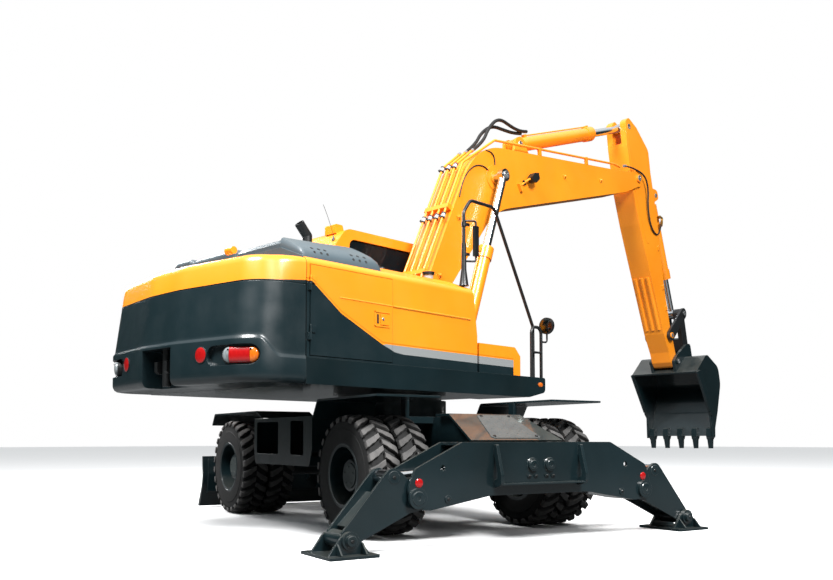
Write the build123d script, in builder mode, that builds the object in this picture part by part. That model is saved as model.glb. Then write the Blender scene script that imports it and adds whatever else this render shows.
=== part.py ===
from build123d import *
from math import atan2, copysign, cos, degrees, hypot, radians, sin
import os

# Wheeled excavator. Millimetres. +X is the way the boom points, +Y is the cab side, +Z is up.
# The origin is on the ground under the middle of the slewing ring. The carrier under the ring
# stands turned against the upper works, as a machine is parked with its boom over the side.

os.makedirs("parts", exist_ok=True)

# Driving sizes of the carrier, in its own frame: +X towards the outriggers, +Y to its left.
carrier_heading = -103.5
rear_axle_x = 1330
front_axle_x = -1520
overall_half_width = 1250
wheel_radius = 530
tread_radius = 498
tyre_width = 280
twin_gap = 35
tyre_facets = 18
lug_width = 56
lug_lean = 24
rim_radius = 262
rim_wall = 12
rim_flange = 24
tyre_seat_gap = 0.8
flange_seat = 14
spindle_radius = 55
shaft_clearance = 0.8
hub_radius = 145
hub_face_inset = 70
axle_tube_radius = 105
differential_radius = 195

frame_half_width = 340
frame_top_z = 1050
frame_bottom_z = 735
frame_front_x = -2060
beam_back_x = 2150
beam_depth = 320
beam_plate = 25
beam_top_z = 822
ring_radius = 607
ring_bottom_z = 1120
ring_top_z = 1250

kingpin_y = 660
kingpin_radius = 35
knuckle_radius = 85
knuckle_half_height = 145
fork_arm = 42
running_gap = 6

step_box_x = (-745, 690)
step_box_z = (590, 1062)
step_box_y = (690, 1240)
sheet = 12
fender_z = 1195
front_fender_z = 1130
blade_pin_radius = 40
fender_thickness = 18

# Outrigger pins as (y, z) on the left side; the right side mirrors them.
leg_pivot = (1210, 400)
leg_top_pin = (1390, 560)
foot_pin = (1775, 120)
ram_anchor = (90, 635)
leg_side_gap = 10
leg_plate = 25
ram_barrel_radius = 62
ram_barrel_length = 730
ram_rod_radius = 33
pad_length = 500
pad_width = 400
pad_plate = 22

# Blade pins as (x, z).
blade_pivot = (-1990, 540)
blade_anchor = (-2125, 985)
blade_rod_pin = (-2355, 415)
blade_half_width = 1245
blade_top_z = 635
blade_ground_gap = 15
blade_ram_y = 225
blade_arm_y = (285, 335)

# Driving sizes of the upper works.
body_half_width = 1240
seam_x = -2116
deck_front_x = 1120
deck_under_z = 1285
deck_top_z = 1340
skirt_top_z = 1500
shoulder_z = 2310
tail_radius = 2830
panel_gap = 6
door_thickness = 45
pump_door_front_x = -1155
tank_front_x = 0
toolbox_top_z = 1790
toolbox_front_x = 690
inner_wall_y = 560
hood_z = 2520
roof_z = 2430
hood_base_z = roof_z + 0.3
left_hood_z = roof_z - 1
seat_gap = 0.4

cab_rear_x = -420
cab_front_x = 1190
cab_right_y = 430
cab_left_y = 1232
cab_floor_z = 1405
cab_roof_z = 3170
cab_wall = 50
cab_door_x = (-330, 590)
cab_door_z = (1450, 3050)
glass = 8
glass_gap = 0.8
hinge_radius = 9
knuckle_height = 60
lid_pin = (-1168, 2434)
lid_hinges = (-120, 290)

# Digging equipment. Pins are given along and across each member from its lower pin.
boom_foot = (100, 1940)
boom_angle = 30
boom_length = 5650
boom_half_width = 200
nose_ear = 28
boom_rod_pin = (2295, 1054)
boom_ram_base = (640, 1390)
boom_ram_y = 338
arm_ram_base = (3162, 1255)
arm_angle = -67.3
arm_half_width = 165
arm_length = 2910
arm_rod_pin = (-769, 113)
bucket_ram_base = (360, 620)
guide_pin = (2480, 10)
link_pin = (2280, 550)
bucket_link_pin = (2850, 470)
bucket_half_width = 560
pin_radius = 45
tip_pin_radius = 60
boss_radius = 95
boom_heel_top = (-20, 20)
boom_crest = (2169, 1516)
boom_nose_top = (boom_length - 360, 222)
boom_pipe_y = (-153, -51, 51, 153)
nose_pipe_y = -187
pipe_radius = 15
pipe_height = 62
rib_radius = 28
rib_y = (-105, 0, 105)

# Rams: barrel radius, barrel length from the base pin, rod radius, length of rod inside the
# barrel, depth of the barrel's bore.
boom_ram = (80, 1780, 48, 430, 1300)
arm_ram = (90, 1880, 52, 650, 1275)
bucket_ram = (75, 1330, 42, 820, 1100)

# Frames that the pieces are modelled in.
carrier = Location((0, 0, 0), (0, 0, carrier_heading))
boom_frame = Location((boom_foot[0], 0, boom_foot[1]), (0, -boom_angle, 0))
boom_tip = (
    boom_foot[0] + boom_length * cos(radians(boom_angle)),
    boom_foot[1] + boom_length * sin(radians(boom_angle)),
)
arm_frame = Location((boom_tip[0], 0, boom_tip[1]), (0, -arm_angle, 0))


def write(part, name, place=Location()):
    placed = place * part.part
    placed.label = name
    export_step(placed, f"parts/{name}.step")


def outline_face(rows, plane):
    """Closed outline from rows of two coordinates and a corner radius."""
    with BuildSketch(plane) as drawn:
        with BuildLine():
            FilletPolyline(*[row[:2] for row in rows], radius=[row[2] for row in rows], close=True)
        make_face()
    return drawn.sketch


def plate(rows, low, high, mode=Mode.ADD):
    """Side outline (x, z, corner radius) between two y values."""
    extrude(outline_face(rows, Plane.XZ.offset(-low)), amount=low - high, mode=mode)


def slab(rows, low, high, mode=Mode.ADD):
    """Plan outline (x, y, corner radius) between two z values."""
    extrude(outline_face(rows, Plane.XY.offset(low)), amount=high - low, mode=mode)


def section(rows, low, high, mode=Mode.ADD):
    """End outline (y, z, corner radius) between two x values."""
    extrude(outline_face(rows, Plane.YZ.offset(low)), amount=high - low, mode=mode)


def block(low, high, mode=Mode.ADD):
    """Box between two opposite corners."""
    with Locations(tuple((a + b) / 2 for a, b in zip(low, high))):
        Box(*[abs(b - a) for a, b in zip(low, high)], mode=mode)


def bar(start, end, radius, mode=Mode.ADD):
    """Round bar between two points."""
    along = Vector(*end) - Vector(*start)
    with BuildSketch(Plane(origin=start, z_dir=along)) as cut:
        Circle(radius)
    extrude(cut.sketch, amount=along.length, mode=mode)


def cross_pin(pin, radius, low, high, mode=Mode.ADD):
    """Round bar along Y through a point (x, z) of the side view."""
    bar((pin[0], low, pin[1]), (pin[0], high, pin[1]), radius, mode)


def long_pin(pin, radius, low, high, mode=Mode.ADD):
    """Round bar along X through a point (y, z) of the end view."""
    bar((low, pin[0], pin[1]), (high, pin[0], pin[1]), radius, mode)


def turned(pin, angle):
    """An offset along and across, turned by an angle of the side view."""
    turn = radians(angle)
    return (pin[0] * cos(turn) - pin[1] * sin(turn), pin[0] * sin(turn) + pin[1] * cos(turn))


def on_boom(pin):
    return tuple(a + b for a, b in zip(boom_foot, turned(pin, boom_angle)))


def on_arm(pin):
    return tuple(a + b for a, b in zip(boom_tip, turned(pin, arm_angle)))


def pin_line(base, rod_end):
    """Length and angle from a ram's base pin to its rod pin."""
    dx, dz = rod_end[0] - base[0], rod_end[1] - base[1]
    return hypot(dx, dz), degrees(atan2(dz, dx))


def beside(start, end, along, off):
    """Point at a distance along the line from start to end, and off to its left."""
    angle = pin_line(start, end)[1]
    return tuple(a + b for a, b in zip(start, turned((along, off), angle)))


# Tyres: a faceted ring with two staggered rows of leaning lugs.
tyre_half = tyre_width / 2
crown_half = tyre_half - 26
shoulder_radius = tread_radius - 42
lug_root = 14
stagger_drop = 2
ring_steps = [
    # from y, to y, radius there, radius here
    (-tyre_half, -crown_half, shoulder_radius, tread_radius),
    (-crown_half, crown_half, tread_radius, tread_radius),
    (crown_half, tyre_half, tread_radius, shoulder_radius),
]
with BuildPart() as tyre:
    for low, high, low_radius, high_radius in ring_steps:
        rings = []
        for y, radius in ((low, low_radius), (high, high_radius)):
            with BuildSketch(Plane.XZ.offset(-y)) as ring:
                RegularPolygon(radius, tyre_facets, major_radius=False)
            rings.append(ring.sketch)
        loft(rings, ruled=True)
    for side, first_turn, drop in ((1, 0, 0), (-1, 180 / tyre_facets, stagger_drop)):
        lug_height = wheel_radius - drop - tread_radius + lug_root
        lug_middle = -(tread_radius - lug_root + lug_height / 2)
        for turn in range(tyre_facets):
            swing = Rot(0, first_turn + turn * 360 / tyre_facets, 0)
            with Locations(swing * Pos(0, side * (tyre_half / 2 + 2), lug_middle) * Rot(0, 0, side * lug_lean)):
                Box(lug_width, tyre_half - 4, lug_height)
    with BuildSketch(Plane.XZ.offset(tyre_half + lug_width)) as bead:
        RegularPolygon(rim_radius + tyre_seat_gap, tyre_facets, major_radius=False)
    extrude(bead.sketch, amount=-2 * (tyre_half + lug_width), mode=Mode.SUBTRACT)
    for side in (-1, 1):
        with BuildSketch(Plane.XZ.offset(side * (tyre_half - flange_seat))) as flange_face:
            RegularPolygon(rim_radius + rim_flange + tyre_seat_gap, tyre_facets, major_radius=False)
        extrude(flange_face.sketch, amount=side * 2 * flange_seat, mode=Mode.SUBTRACT)

outer_tyre_y = overall_half_width - tyre_half
inner_tyre_y = outer_tyre_y - tyre_width - twin_gap
wheels = [
    # name, axle x, side
    ("front_left", front_axle_x, 1),
    ("front_right", front_axle_x, -1),
    ("rear_left", rear_axle_x, 1),
    ("rear_right", rear_axle_x, -1),
]
for wheel_name, axle_x, side in wheels:
    with BuildPart() as tyres:
        for y in (outer_tyre_y, inner_tyre_y):
            with Locations((axle_x, side * y, wheel_radius)):
                add(tyre.part)
    write(tyres, f"tyres_{wheel_name}", carrier)

# Rims: both rims, their discs and the hub turn as one piece on the spindle.
rim_inner_y = inner_tyre_y - tyre_half + 2
rim_outer_y = outer_tyre_y + tyre_half - 2
disc_y = outer_tyre_y - tyre_half - twin_gap / 2
hub_back_y = disc_y - 170
spindle_end_y = disc_y - 40
hub_face_y = overall_half_width - hub_face_inset
rim_bore = rim_radius - rim_wall
rim_profile = [
    # distance from the middle of the machine, radius
    (rim_inner_y, rim_bore),
    (rim_inner_y, rim_radius + rim_flange),
    (rim_inner_y + 10, rim_radius + rim_flange),
    (rim_inner_y + 10, rim_radius),
    (rim_outer_y - 10, rim_radius),
    (rim_outer_y - 10, rim_radius + rim_flange),
    (rim_outer_y, rim_radius + rim_flange),
    (rim_outer_y, rim_bore),
    (disc_y + 60, rim_bore - 6),
    (disc_y + 40, hub_radius + 10),
    (hub_face_y - 12, hub_radius),
    (hub_face_y, hub_radius - 12),
    (hub_face_y, 0),
    (spindle_end_y + 10, 0),
    (spindle_end_y + 10, spindle_radius + shaft_clearance),
    (hub_back_y, spindle_radius + shaft_clearance),
    (hub_back_y, hub_radius),
    (disc_y - 10, hub_radius + 10),
    (disc_y - 10, rim_bore),
]
for wheel_name, axle_x, side in wheels:
    with BuildPart() as rims:
        with BuildSketch(Plane(origin=(axle_x, 0, wheel_radius), x_dir=(0, side, 0), z_dir=(side, 0, 0))) as half:
            with BuildLine():
                Polyline(*rim_profile, close=True)
            make_face()
        revolve(axis=Axis((axle_x, 0, wheel_radius), (0, 1, 0)))
    write(rims, f"rims_{wheel_name}", carrier)

# Carrier frame: a welded box, arched over the axles, with the pedestal of the slewing ring.
frame_side = [
    (frame_front_x, 500, 20), (frame_front_x, 900, 60), (-1760, frame_top_z, 40),
    (1700, frame_top_z, 20), (beam_back_x, beam_top_z, 0), (beam_back_x, 430, 0),
    (1900, 430, 40), (1690, frame_bottom_z, 60), (1000, frame_bottom_z, 60),
    (860, 560, 40), (-960, 560, 40), (-1080, frame_bottom_z, 40),
    (-1900, frame_bottom_z, 40), (-1920, 500, 20),
]
bracket_end_y = 640
fender_brackets = [
    # x, arm from z, arm to z, post's inner y, post's top z
    (-1560, wheel_radius * 2 + 20, front_fender_z, frame_half_width - 20, front_fender_z),
    (1330, frame_top_z - 60, frame_top_z, bracket_end_y - 40, fender_z),
]
blade_ear = [
    (-2040, 860, 0), (-2180, 950, 40), (-2170, 1032, 40), (-2080, 1040, 40), (-1940, 930, 0), (-1940, 860, 0),
]
blade_barrel_radius = 52
blade_ear_y = (blade_ram_y - 26 - running_gap - 25, blade_ram_y + 26 + running_gap)
with BuildPart() as carrier_frame:
    plate(frame_side, -frame_half_width, frame_half_width)
    with BuildSketch(Plane.XY.offset(frame_top_z - 200)) as foot:
        Circle(ring_radius - 60)
    extrude(foot.sketch, amount=ring_bottom_z - frame_top_z + 200)
    with BuildSketch(Plane.XY.offset(ring_bottom_z - 40)) as bearing:
        Circle(ring_radius)
    extrude(bearing.sketch, amount=ring_top_z - ring_bottom_z + 40)
    for x in (-560, 480):
        block((x - 35, -step_box_y[0], 640), (x + 35, step_box_y[0], 860))
    for side in (-1, 1):
        for x, arm_low, arm_high, post_y, post_high in fender_brackets:
            low_y, high_y = sorted((side * (frame_half_width - 20), side * bracket_end_y))
            block((x - 40, low_y, arm_low), (x + 40, high_y, arm_high))
            low_y, high_y = sorted((side * post_y, side * (post_y + 40)))
            block((x - 40, low_y, frame_top_z - 60), (x + 40, high_y, post_high))
        for low in blade_ear_y:
            low_y, high_y = sorted((side * low, side * (low + 25)))
            plate(blade_ear, low_y, high_y)
        low_y, high_y = sorted((side * (blade_arm_y[0] - 8), side * (frame_half_width + 10)))
        block((frame_front_x - 20, low_y, 400), (-1890, high_y, 640), mode=Mode.SUBTRACT)
        low_y, high_y = sorted((side * (blade_arm_y[0] - 20), side * (blade_arm_y[1] + 4)))
        cross_pin(blade_pivot, blade_pin_radius, low_y, high_y)
write(carrier_frame, "carrier_frame", carrier)

# Step boxes between the axles: hollow, with two windows in the outer wall.
step_windows = [
    # x from, x to
    (-674, -105),
    (196, 500),
]
with BuildPart() as step_boxes:
    for side in (-1, 1):
        low_y, high_y = sorted((side * step_box_y[0], side * step_box_y[1]))
        box_rows = [
            (step_box_x[0], step_box_z[0] + 110, 40), (step_box_x[0] + 30, step_box_z[0], 40),
            (step_box_x[1] - 60, step_box_z[0], 40), (step_box_x[1], step_box_z[0] + 170, 60),
            (step_box_x[1], step_box_z[1], 20), (step_box_x[0], step_box_z[1], 20),
        ]
        plate(box_rows, low_y, high_y)
        block(
            (step_box_x[0] + sheet, low_y + sheet, step_box_z[0] + 95),
            (step_box_x[1] - sheet, high_y - sheet, step_box_z[1] - sheet),
            mode=Mode.SUBTRACT,
        )
        for left, right in step_windows:
            window = [
                (left, 697, 25), (right, 692, 25), (right, 1020, 25), (left, 1026, 25),
            ]
            cut_low, cut_high = sorted((side * (step_box_y[1] - 2 * sheet), side * (step_box_y[1] + 10)))
            plate(window, cut_low, cut_high, mode=Mode.SUBTRACT)
write(step_boxes, "step_boxes", carrier)

# Fenders over the twin wheels.
rear_fender = [
    (713, 1040, 0), (810, fender_z, 30), (1905, fender_z, 0),
    (1905, fender_z + fender_thickness, 0), (798, fender_z + fender_thickness, 40), (696, 1050, 0),
]
front_fender = [
    (-2115, 1010, 0), (-2030, front_fender_z, 30), (-700, front_fender_z, 30), (-560, 1068, 0),
    (-560, 1068 + fender_thickness, 0), (-695, front_fender_z + fender_thickness, 30),
    (-2038, front_fender_z + fender_thickness, 40), (-2130, 1018, 0),
]
with BuildPart() as fenders:
    for side in (-1, 1):
        low_y, high_y = sorted((side * 620, side * 1240))
        plate(rear_fender, low_y, high_y)
        plate(front_fender, low_y, high_y)
write(fenders, "fenders", carrier)

# Front axle: the beam with the forks that hold the kingpins.
fork_top = knuckle_half_height + running_gap
with BuildPart() as front_axle:
    bar((front_axle_x, -540, wheel_radius), (front_axle_x, 540, wheel_radius), axle_tube_radius)
    with Locations((front_axle_x, 60, wheel_radius)):
        Sphere(differential_radius)
    block((front_axle_x - 130, -130, wheel_radius), (front_axle_x + 130, 130, frame_bottom_z))
    for side in (-1, 1):
        web = sorted((side * 515, side * (kingpin_y - knuckle_radius - running_gap)))
        reach = fork_top + fork_arm
        block(
            (front_axle_x - 75, web[0], wheel_radius - reach),
            (front_axle_x + 75, web[1], wheel_radius + reach),
        )
        for low, high in ((fork_top, reach), (-reach, -fork_top)):
            with BuildSketch(Plane.XY.offset(wheel_radius + low)) as arm_plan:
                with Locations((front_axle_x, side * kingpin_y)):
                    Circle(75)
                with Locations((front_axle_x, side * (kingpin_y - 60))):
                    Rectangle(150, 120)
                with Locations((front_axle_x, side * kingpin_y)):
                    Circle(kingpin_radius + shaft_clearance, mode=Mode.SUBTRACT)
            extrude(arm_plan.sketch, amount=high - low)
write(front_axle, "front_axle", carrier)

# Rear axle with the gearbox and the shaft that drives the front.
with BuildPart() as rear_axle:
    bar((rear_axle_x, -750, wheel_radius), (rear_axle_x, 750, wheel_radius), axle_tube_radius)
    spindle_ends = [(rear_axle_x, side * spindle_end_y, wheel_radius) for side in (-1, 1)]
    bar(*spindle_ends, spindle_radius)
    with Locations((rear_axle_x, 60, wheel_radius)):
        Sphere(differential_radius)
    block((rear_axle_x - 130, -300, wheel_radius), (rear_axle_x + 130, 300, frame_bottom_z))
    block((850, -150, 360), (1200, 190, 555))
    bar((front_axle_x + differential_radius + 12, 60, 470), (900, 60, 470), 42)
write(rear_axle, "rear_axle", carrier)

# Steering knuckles: kingpins and the spindle that the wheel turns on.
for knuckle_name, side in (("left", 1), ("right", -1)):
    with BuildPart() as knuckle:
        middle = (front_axle_x, side * kingpin_y, wheel_radius)
        for radius, reach in ((knuckle_radius, knuckle_half_height), (kingpin_radius, fork_top + fork_arm)):
            bar((*middle[:2], wheel_radius - reach), (*middle[:2], wheel_radius + reach), radius)
        for reach_y, radius in ((hub_back_y - 15, 78), (spindle_end_y, spindle_radius)):
            bar(middle, (front_axle_x, side * reach_y, wheel_radius), radius)
    write(knuckle, f"knuckle_{knuckle_name}", carrier)

# Outrigger beam: two arched plates with a floor and a roof between them, open at its ends.
beam_front_x = beam_back_x + beam_depth
beam_half = [
    (0, beam_top_z, 0), (795, beam_top_z, 60), (1225, 622, 60), (1290, 470, 70), (1240, 320, 70),
    (1090, 305, 60), (520, 398, 120), (0, 398, 0),
]
beam_rows = beam_half + [(-y, z, r) for y, z, r in reversed(beam_half[1:-1])]
beam_inside = (beam_back_x + beam_plate, beam_front_x - beam_plate)
with BuildPart() as outrigger_beam:
    section(beam_rows, beam_back_x, beam_front_x)
    hollow = [
        (-1400, 300, 0), (-1080, 330, 0), (-515, 423, 0), (515, 423, 0), (1080, 330, 0), (1400, 300, 0),
        (1400, 900, 0), (795, 900, 0), (795, beam_top_z - beam_plate, 0),
        (-795, beam_top_z - beam_plate, 0), (-795, 900, 0), (-1400, 900, 0),
    ]
    section(hollow, *beam_inside, mode=Mode.SUBTRACT)
    for side in (-1, 1):
        end_cut = [(side * 1095, 250, 0), (side * 1400, 250, 0), (side * 1400, 500, 0), (side * 1095, 500, 0)]
        section(end_cut, *beam_inside, mode=Mode.SUBTRACT)
        pivot = (side * leg_pivot[0], leg_pivot[1])
        anchor = (side * ram_anchor[0], ram_anchor[1])
        long_pin(pivot, pin_radius, beam_inside[0] - 5, beam_inside[1] + 5)
        long_pin(anchor, pin_radius, beam_inside[0] - 5, beam_inside[1] + 5)
        for face_x, out in ((beam_back_x, -14), (beam_front_x, 22)):
            long_pin(pivot, 78, min(face_x, face_x + out), max(face_x, face_x + out))
            if out > 0:
                long_pin(anchor, 52, face_x, face_x + out)
        long_pin((side * 977, 625), 22, beam_back_x - 5, beam_front_x + 5, mode=Mode.SUBTRACT)
    for side in (-1, 1):
        hook_y = 0.45 * side * 1000 - 25
        hook = [
            (beam_front_x - 10, beam_top_z - 20, 0), (beam_front_x + 30, beam_top_z - 20, 10),
            (beam_front_x + 95, 560, 40), (beam_front_x + 95, 480, 35), (beam_front_x - 10, 455, 0),
        ]
        plate(hook, hook_y - 14, hook_y + 14)
        notch = [
            (beam_front_x, 720, 0), (beam_front_x + 50, 570, 20), (beam_front_x + 40, 530, 15), (beam_front_x, 520, 0),
        ]
        plate(notch, hook_y - 15, hook_y + 15, mode=Mode.SUBTRACT)
    block((beam_front_x - 5, -475, 480), (beam_front_x + 90, 425, 492))
write(outrigger_beam, "outrigger_beam", carrier)

# Sloping deck between the frame and the beam, wider at the beam.
deck_ends = (400, 500)
with BuildPart() as rear_deck:
    plate(
        [(1500, 1051, 0), (1700, 1051, 0), (2165, 823, 0), (2180, 838, 0), (1706, 1072, 10), (1500, 1072, 0)],
        -deck_ends[1], deck_ends[1],
    )
    slab(
        [
            (1400, -deck_ends[0], 0), (1706, -deck_ends[0], 0), (2185, -deck_ends[1], 0),
            (2185, deck_ends[1], 0), (1706, deck_ends[0], 0), (1400, deck_ends[0], 0),
        ],
        800, 1100, mode=Mode.INTERSECT,
    )
write(rear_deck, "rear_deck", carrier)

def across(rows, side):
    """An end outline of the left side, on the side asked for."""
    return [(side * row[0], *row[1:]) for row in rows]


# Outrigger legs, feet and rams.
leg_slot = (beam_inside[0] + leg_side_gap, beam_inside[1] - leg_side_gap)
leg_inside = (leg_slot[0] + leg_plate, leg_slot[1] - leg_plate)
beam_middle_x = beam_back_x + beam_depth / 2
for leg_name, side in (("left", 1), ("right", -1)):
    leg_rows = [
        (leg_pivot[0] - 80, leg_pivot[1] - 10, 30), (leg_top_pin[0] - 75, leg_top_pin[1] + 30, 50),
        (leg_top_pin[0] + 20, leg_top_pin[1] + 85, 70), (leg_top_pin[0] + 90, leg_top_pin[1] + 10, 50),
        (foot_pin[0] + 60, foot_pin[1] + 40, 55), (foot_pin[0] + 10, foot_pin[1] - 62, 50),
        (foot_pin[0] - 75, foot_pin[1] - 30, 40), (leg_pivot[0] + 40, leg_pivot[1] - 110, 70),
        (leg_pivot[0] - 75, leg_pivot[1] - 90, 40),
    ]
    web_rows = [
        (leg_pivot[0] + 130, leg_pivot[1] - 70, 0), (leg_top_pin[0] + 110, leg_top_pin[1] - 110, 0),
        (foot_pin[0] - 30, foot_pin[1] + 90, 0), (foot_pin[0] - 110, foot_pin[1] + 15, 0),
    ]
    with BuildPart() as leg:
        for low in (leg_slot[0], leg_slot[1] - leg_plate):
            section(across(leg_rows, side), low, low + leg_plate)
        section(across(web_rows, side), leg_slot[0], leg_slot[1])
        pivot = (side * leg_pivot[0], leg_pivot[1])
        foot = (side * foot_pin[0], foot_pin[1])
        long_pin(pivot, 70, *leg_slot)
        long_pin(foot, 66, *leg_slot)
        for pin in (pivot, foot):
            long_pin(pin, pin_radius + shaft_clearance, leg_slot[0] - 1, leg_slot[1] + 1, mode=Mode.SUBTRACT)
    write(leg, f"outrigger_leg_{leg_name}", carrier)

    with BuildPart() as foot_pad:
        sole = [
            (beam_middle_x - pad_length / 2, side * foot_pin[0] - pad_width / 2, 15),
            (beam_middle_x + pad_length / 2, side * foot_pin[0] - pad_width / 2, 15),
            (beam_middle_x + pad_length / 2, side * foot_pin[0] + pad_width / 2, 15),
            (beam_middle_x - pad_length / 2, side * foot_pin[0] + pad_width / 2, 15),
        ]
        slab(sole, 0, pad_plate)
        ear = [
            (side * foot_pin[0] - 165, pad_plate - 2, 0), (side * foot_pin[0] - 60, foot_pin[1] + 40, 50),
            (side * foot_pin[0] + 60, foot_pin[1] + 40, 50), (side * foot_pin[0] + 165, pad_plate - 2, 0),
        ]
        for low in (leg_slot[0] - running_gap - leg_plate, leg_slot[1] + running_gap):
            section(ear, low, low + leg_plate)
        pin_ends = (leg_slot[0] - running_gap - leg_plate - 8, leg_slot[1] + running_gap + leg_plate + 30)
        long_pin((side * foot_pin[0], foot_pin[1]), pin_radius, *pin_ends)
        long_pin((side * foot_pin[0], foot_pin[1]), 66, leg_slot[1] + running_gap + 1, pin_ends[1] - 12)
    write(foot_pad, f"outrigger_pad_{leg_name}", carrier)

    ram_length, ram_angle = pin_line(ram_anchor, leg_top_pin)
    ram_place = Location((beam_middle_x, side * ram_anchor[0], ram_anchor[1])) * Rot(0, 0, 90 * side)
    ram_place = ram_place * Rot(0, -ram_angle, 0)
    eye_half = (leg_inside[1] - leg_inside[0]) / 2 - running_gap
    with BuildPart() as ram_barrel:
        bar((50, 0, 0), (ram_barrel_length, 0, 0), ram_barrel_radius)
        cross_pin((0, 0), 68, -eye_half, eye_half)
        cross_pin((0, 0), pin_radius + shaft_clearance, -eye_half - 1, eye_half + 1, mode=Mode.SUBTRACT)
        with BuildSketch(Plane.YZ.offset(ram_barrel_length - 40)) as collar:
            Circle(ram_barrel_radius + 8)
        extrude(collar.sketch, amount=40)
        bar((200, 0, 0), (ram_barrel_length + 1, 0, 0), ram_rod_radius + shaft_clearance, mode=Mode.SUBTRACT)
    write(ram_barrel, f"outrigger_barrel_{leg_name}", carrier * ram_place)
    with BuildPart() as ram_rod:
        bar((ram_barrel_length - 100, 0, 0), (ram_length - 30, 0, 0), ram_rod_radius)
        cross_pin((ram_length, 0), 55, -eye_half, eye_half)
        cross_pin((ram_length, 0), 35, -eye_half - running_gap + seat_gap, eye_half + running_gap - seat_gap)
    write(ram_rod, f"outrigger_rod_{leg_name}", carrier * ram_place)

# Blade with its two arms.
blade_lug_gap = blade_barrel_radius + running_gap
with BuildPart() as blade:
    board = [
        (-2618, blade_ground_gap, 0), (-2560, blade_ground_gap, 0), (-2430, 330, 400),
        (-2440, blade_top_z, 0), (-2480, blade_top_z, 0), (-2462, 330, 400), (-2618, blade_ground_gap + 25, 0),
    ]
    plate(board, -blade_half_width, blade_half_width)
    back_box = [
        (-2490, 180, 0), (-2450, 420, 0), (-2460, 600, 0), (-2425, 600, 0), (-2408, 420, 30), (-2440, 180, 30),
    ]
    plate(back_box, -blade_half_width + 60, blade_half_width - 60)
    for side in (-1, 1):
        push_arm = [
            (blade_pivot[0] + 75, blade_pivot[1] + 60, 60), (-2350, 500, 60), (-2440, 420, 0), (-2450, 210, 0),
            (-2300, 230, 60), (blade_pivot[0] + 75, blade_pivot[1] - 80, 60),
        ]
        arm_low, arm_high = sorted((side * blade_arm_y[0], side * blade_arm_y[1]))
        plate(push_arm, arm_low, arm_high)
        for low in (blade_ram_y - blade_lug_gap - 20, blade_ram_y + blade_lug_gap):
            lug_low, lug_high = sorted((side * low, side * (low + 20)))
            plate(
                [(-2445, 300, 0), (-2310, 370, 40), (-2310, 450, 40), (-2425, 520, 0)],
                lug_low, lug_high,
            )
        cross_pin(blade_pivot, 75, arm_low, arm_high)
        bore = sorted((side * (blade_arm_y[0] - 5), side * (blade_arm_y[1] + 5)))
        cross_pin(blade_pivot, blade_pin_radius + shaft_clearance, *bore, mode=Mode.SUBTRACT)
write(blade, "blade", carrier)

blade_ram_length, blade_ram_angle = pin_line(blade_anchor, blade_rod_pin)
blade_ram_place = carrier * Location((blade_anchor[0], 0, blade_anchor[1]), (0, -blade_ram_angle, 0))
blade_barrel_length = blade_ram_length - 260
with BuildPart() as blade_barrels:
    for side in (-1, 1):
        middle = side * blade_ram_y
        bar((80, middle, 0), (blade_barrel_length, middle, 0), blade_barrel_radius)
        bar((0, middle, 0), (90, middle, 0), 26)
        cross_pin((0, 0), 50, middle - 26, middle + 26)
        bar((88, middle, 0), (blade_barrel_length + 1, middle, 0), 28 + shaft_clearance, mode=Mode.SUBTRACT)
write(blade_barrels, "blade_barrels", blade_ram_place)
with BuildPart() as blade_rods:
    for side in (-1, 1):
        middle = side * blade_ram_y
        bar((blade_barrel_length - 55, middle, 0), (blade_ram_length - 20, middle, 0), 28)
        cross_pin((blade_ram_length, 0), 42, middle - 22, middle + 22)
        pin_half = blade_lug_gap - seat_gap
        cross_pin((blade_ram_length, 0), 22, middle - pin_half, middle + pin_half)
write(blade_rods, "blade_rods", blade_ram_place)

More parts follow.
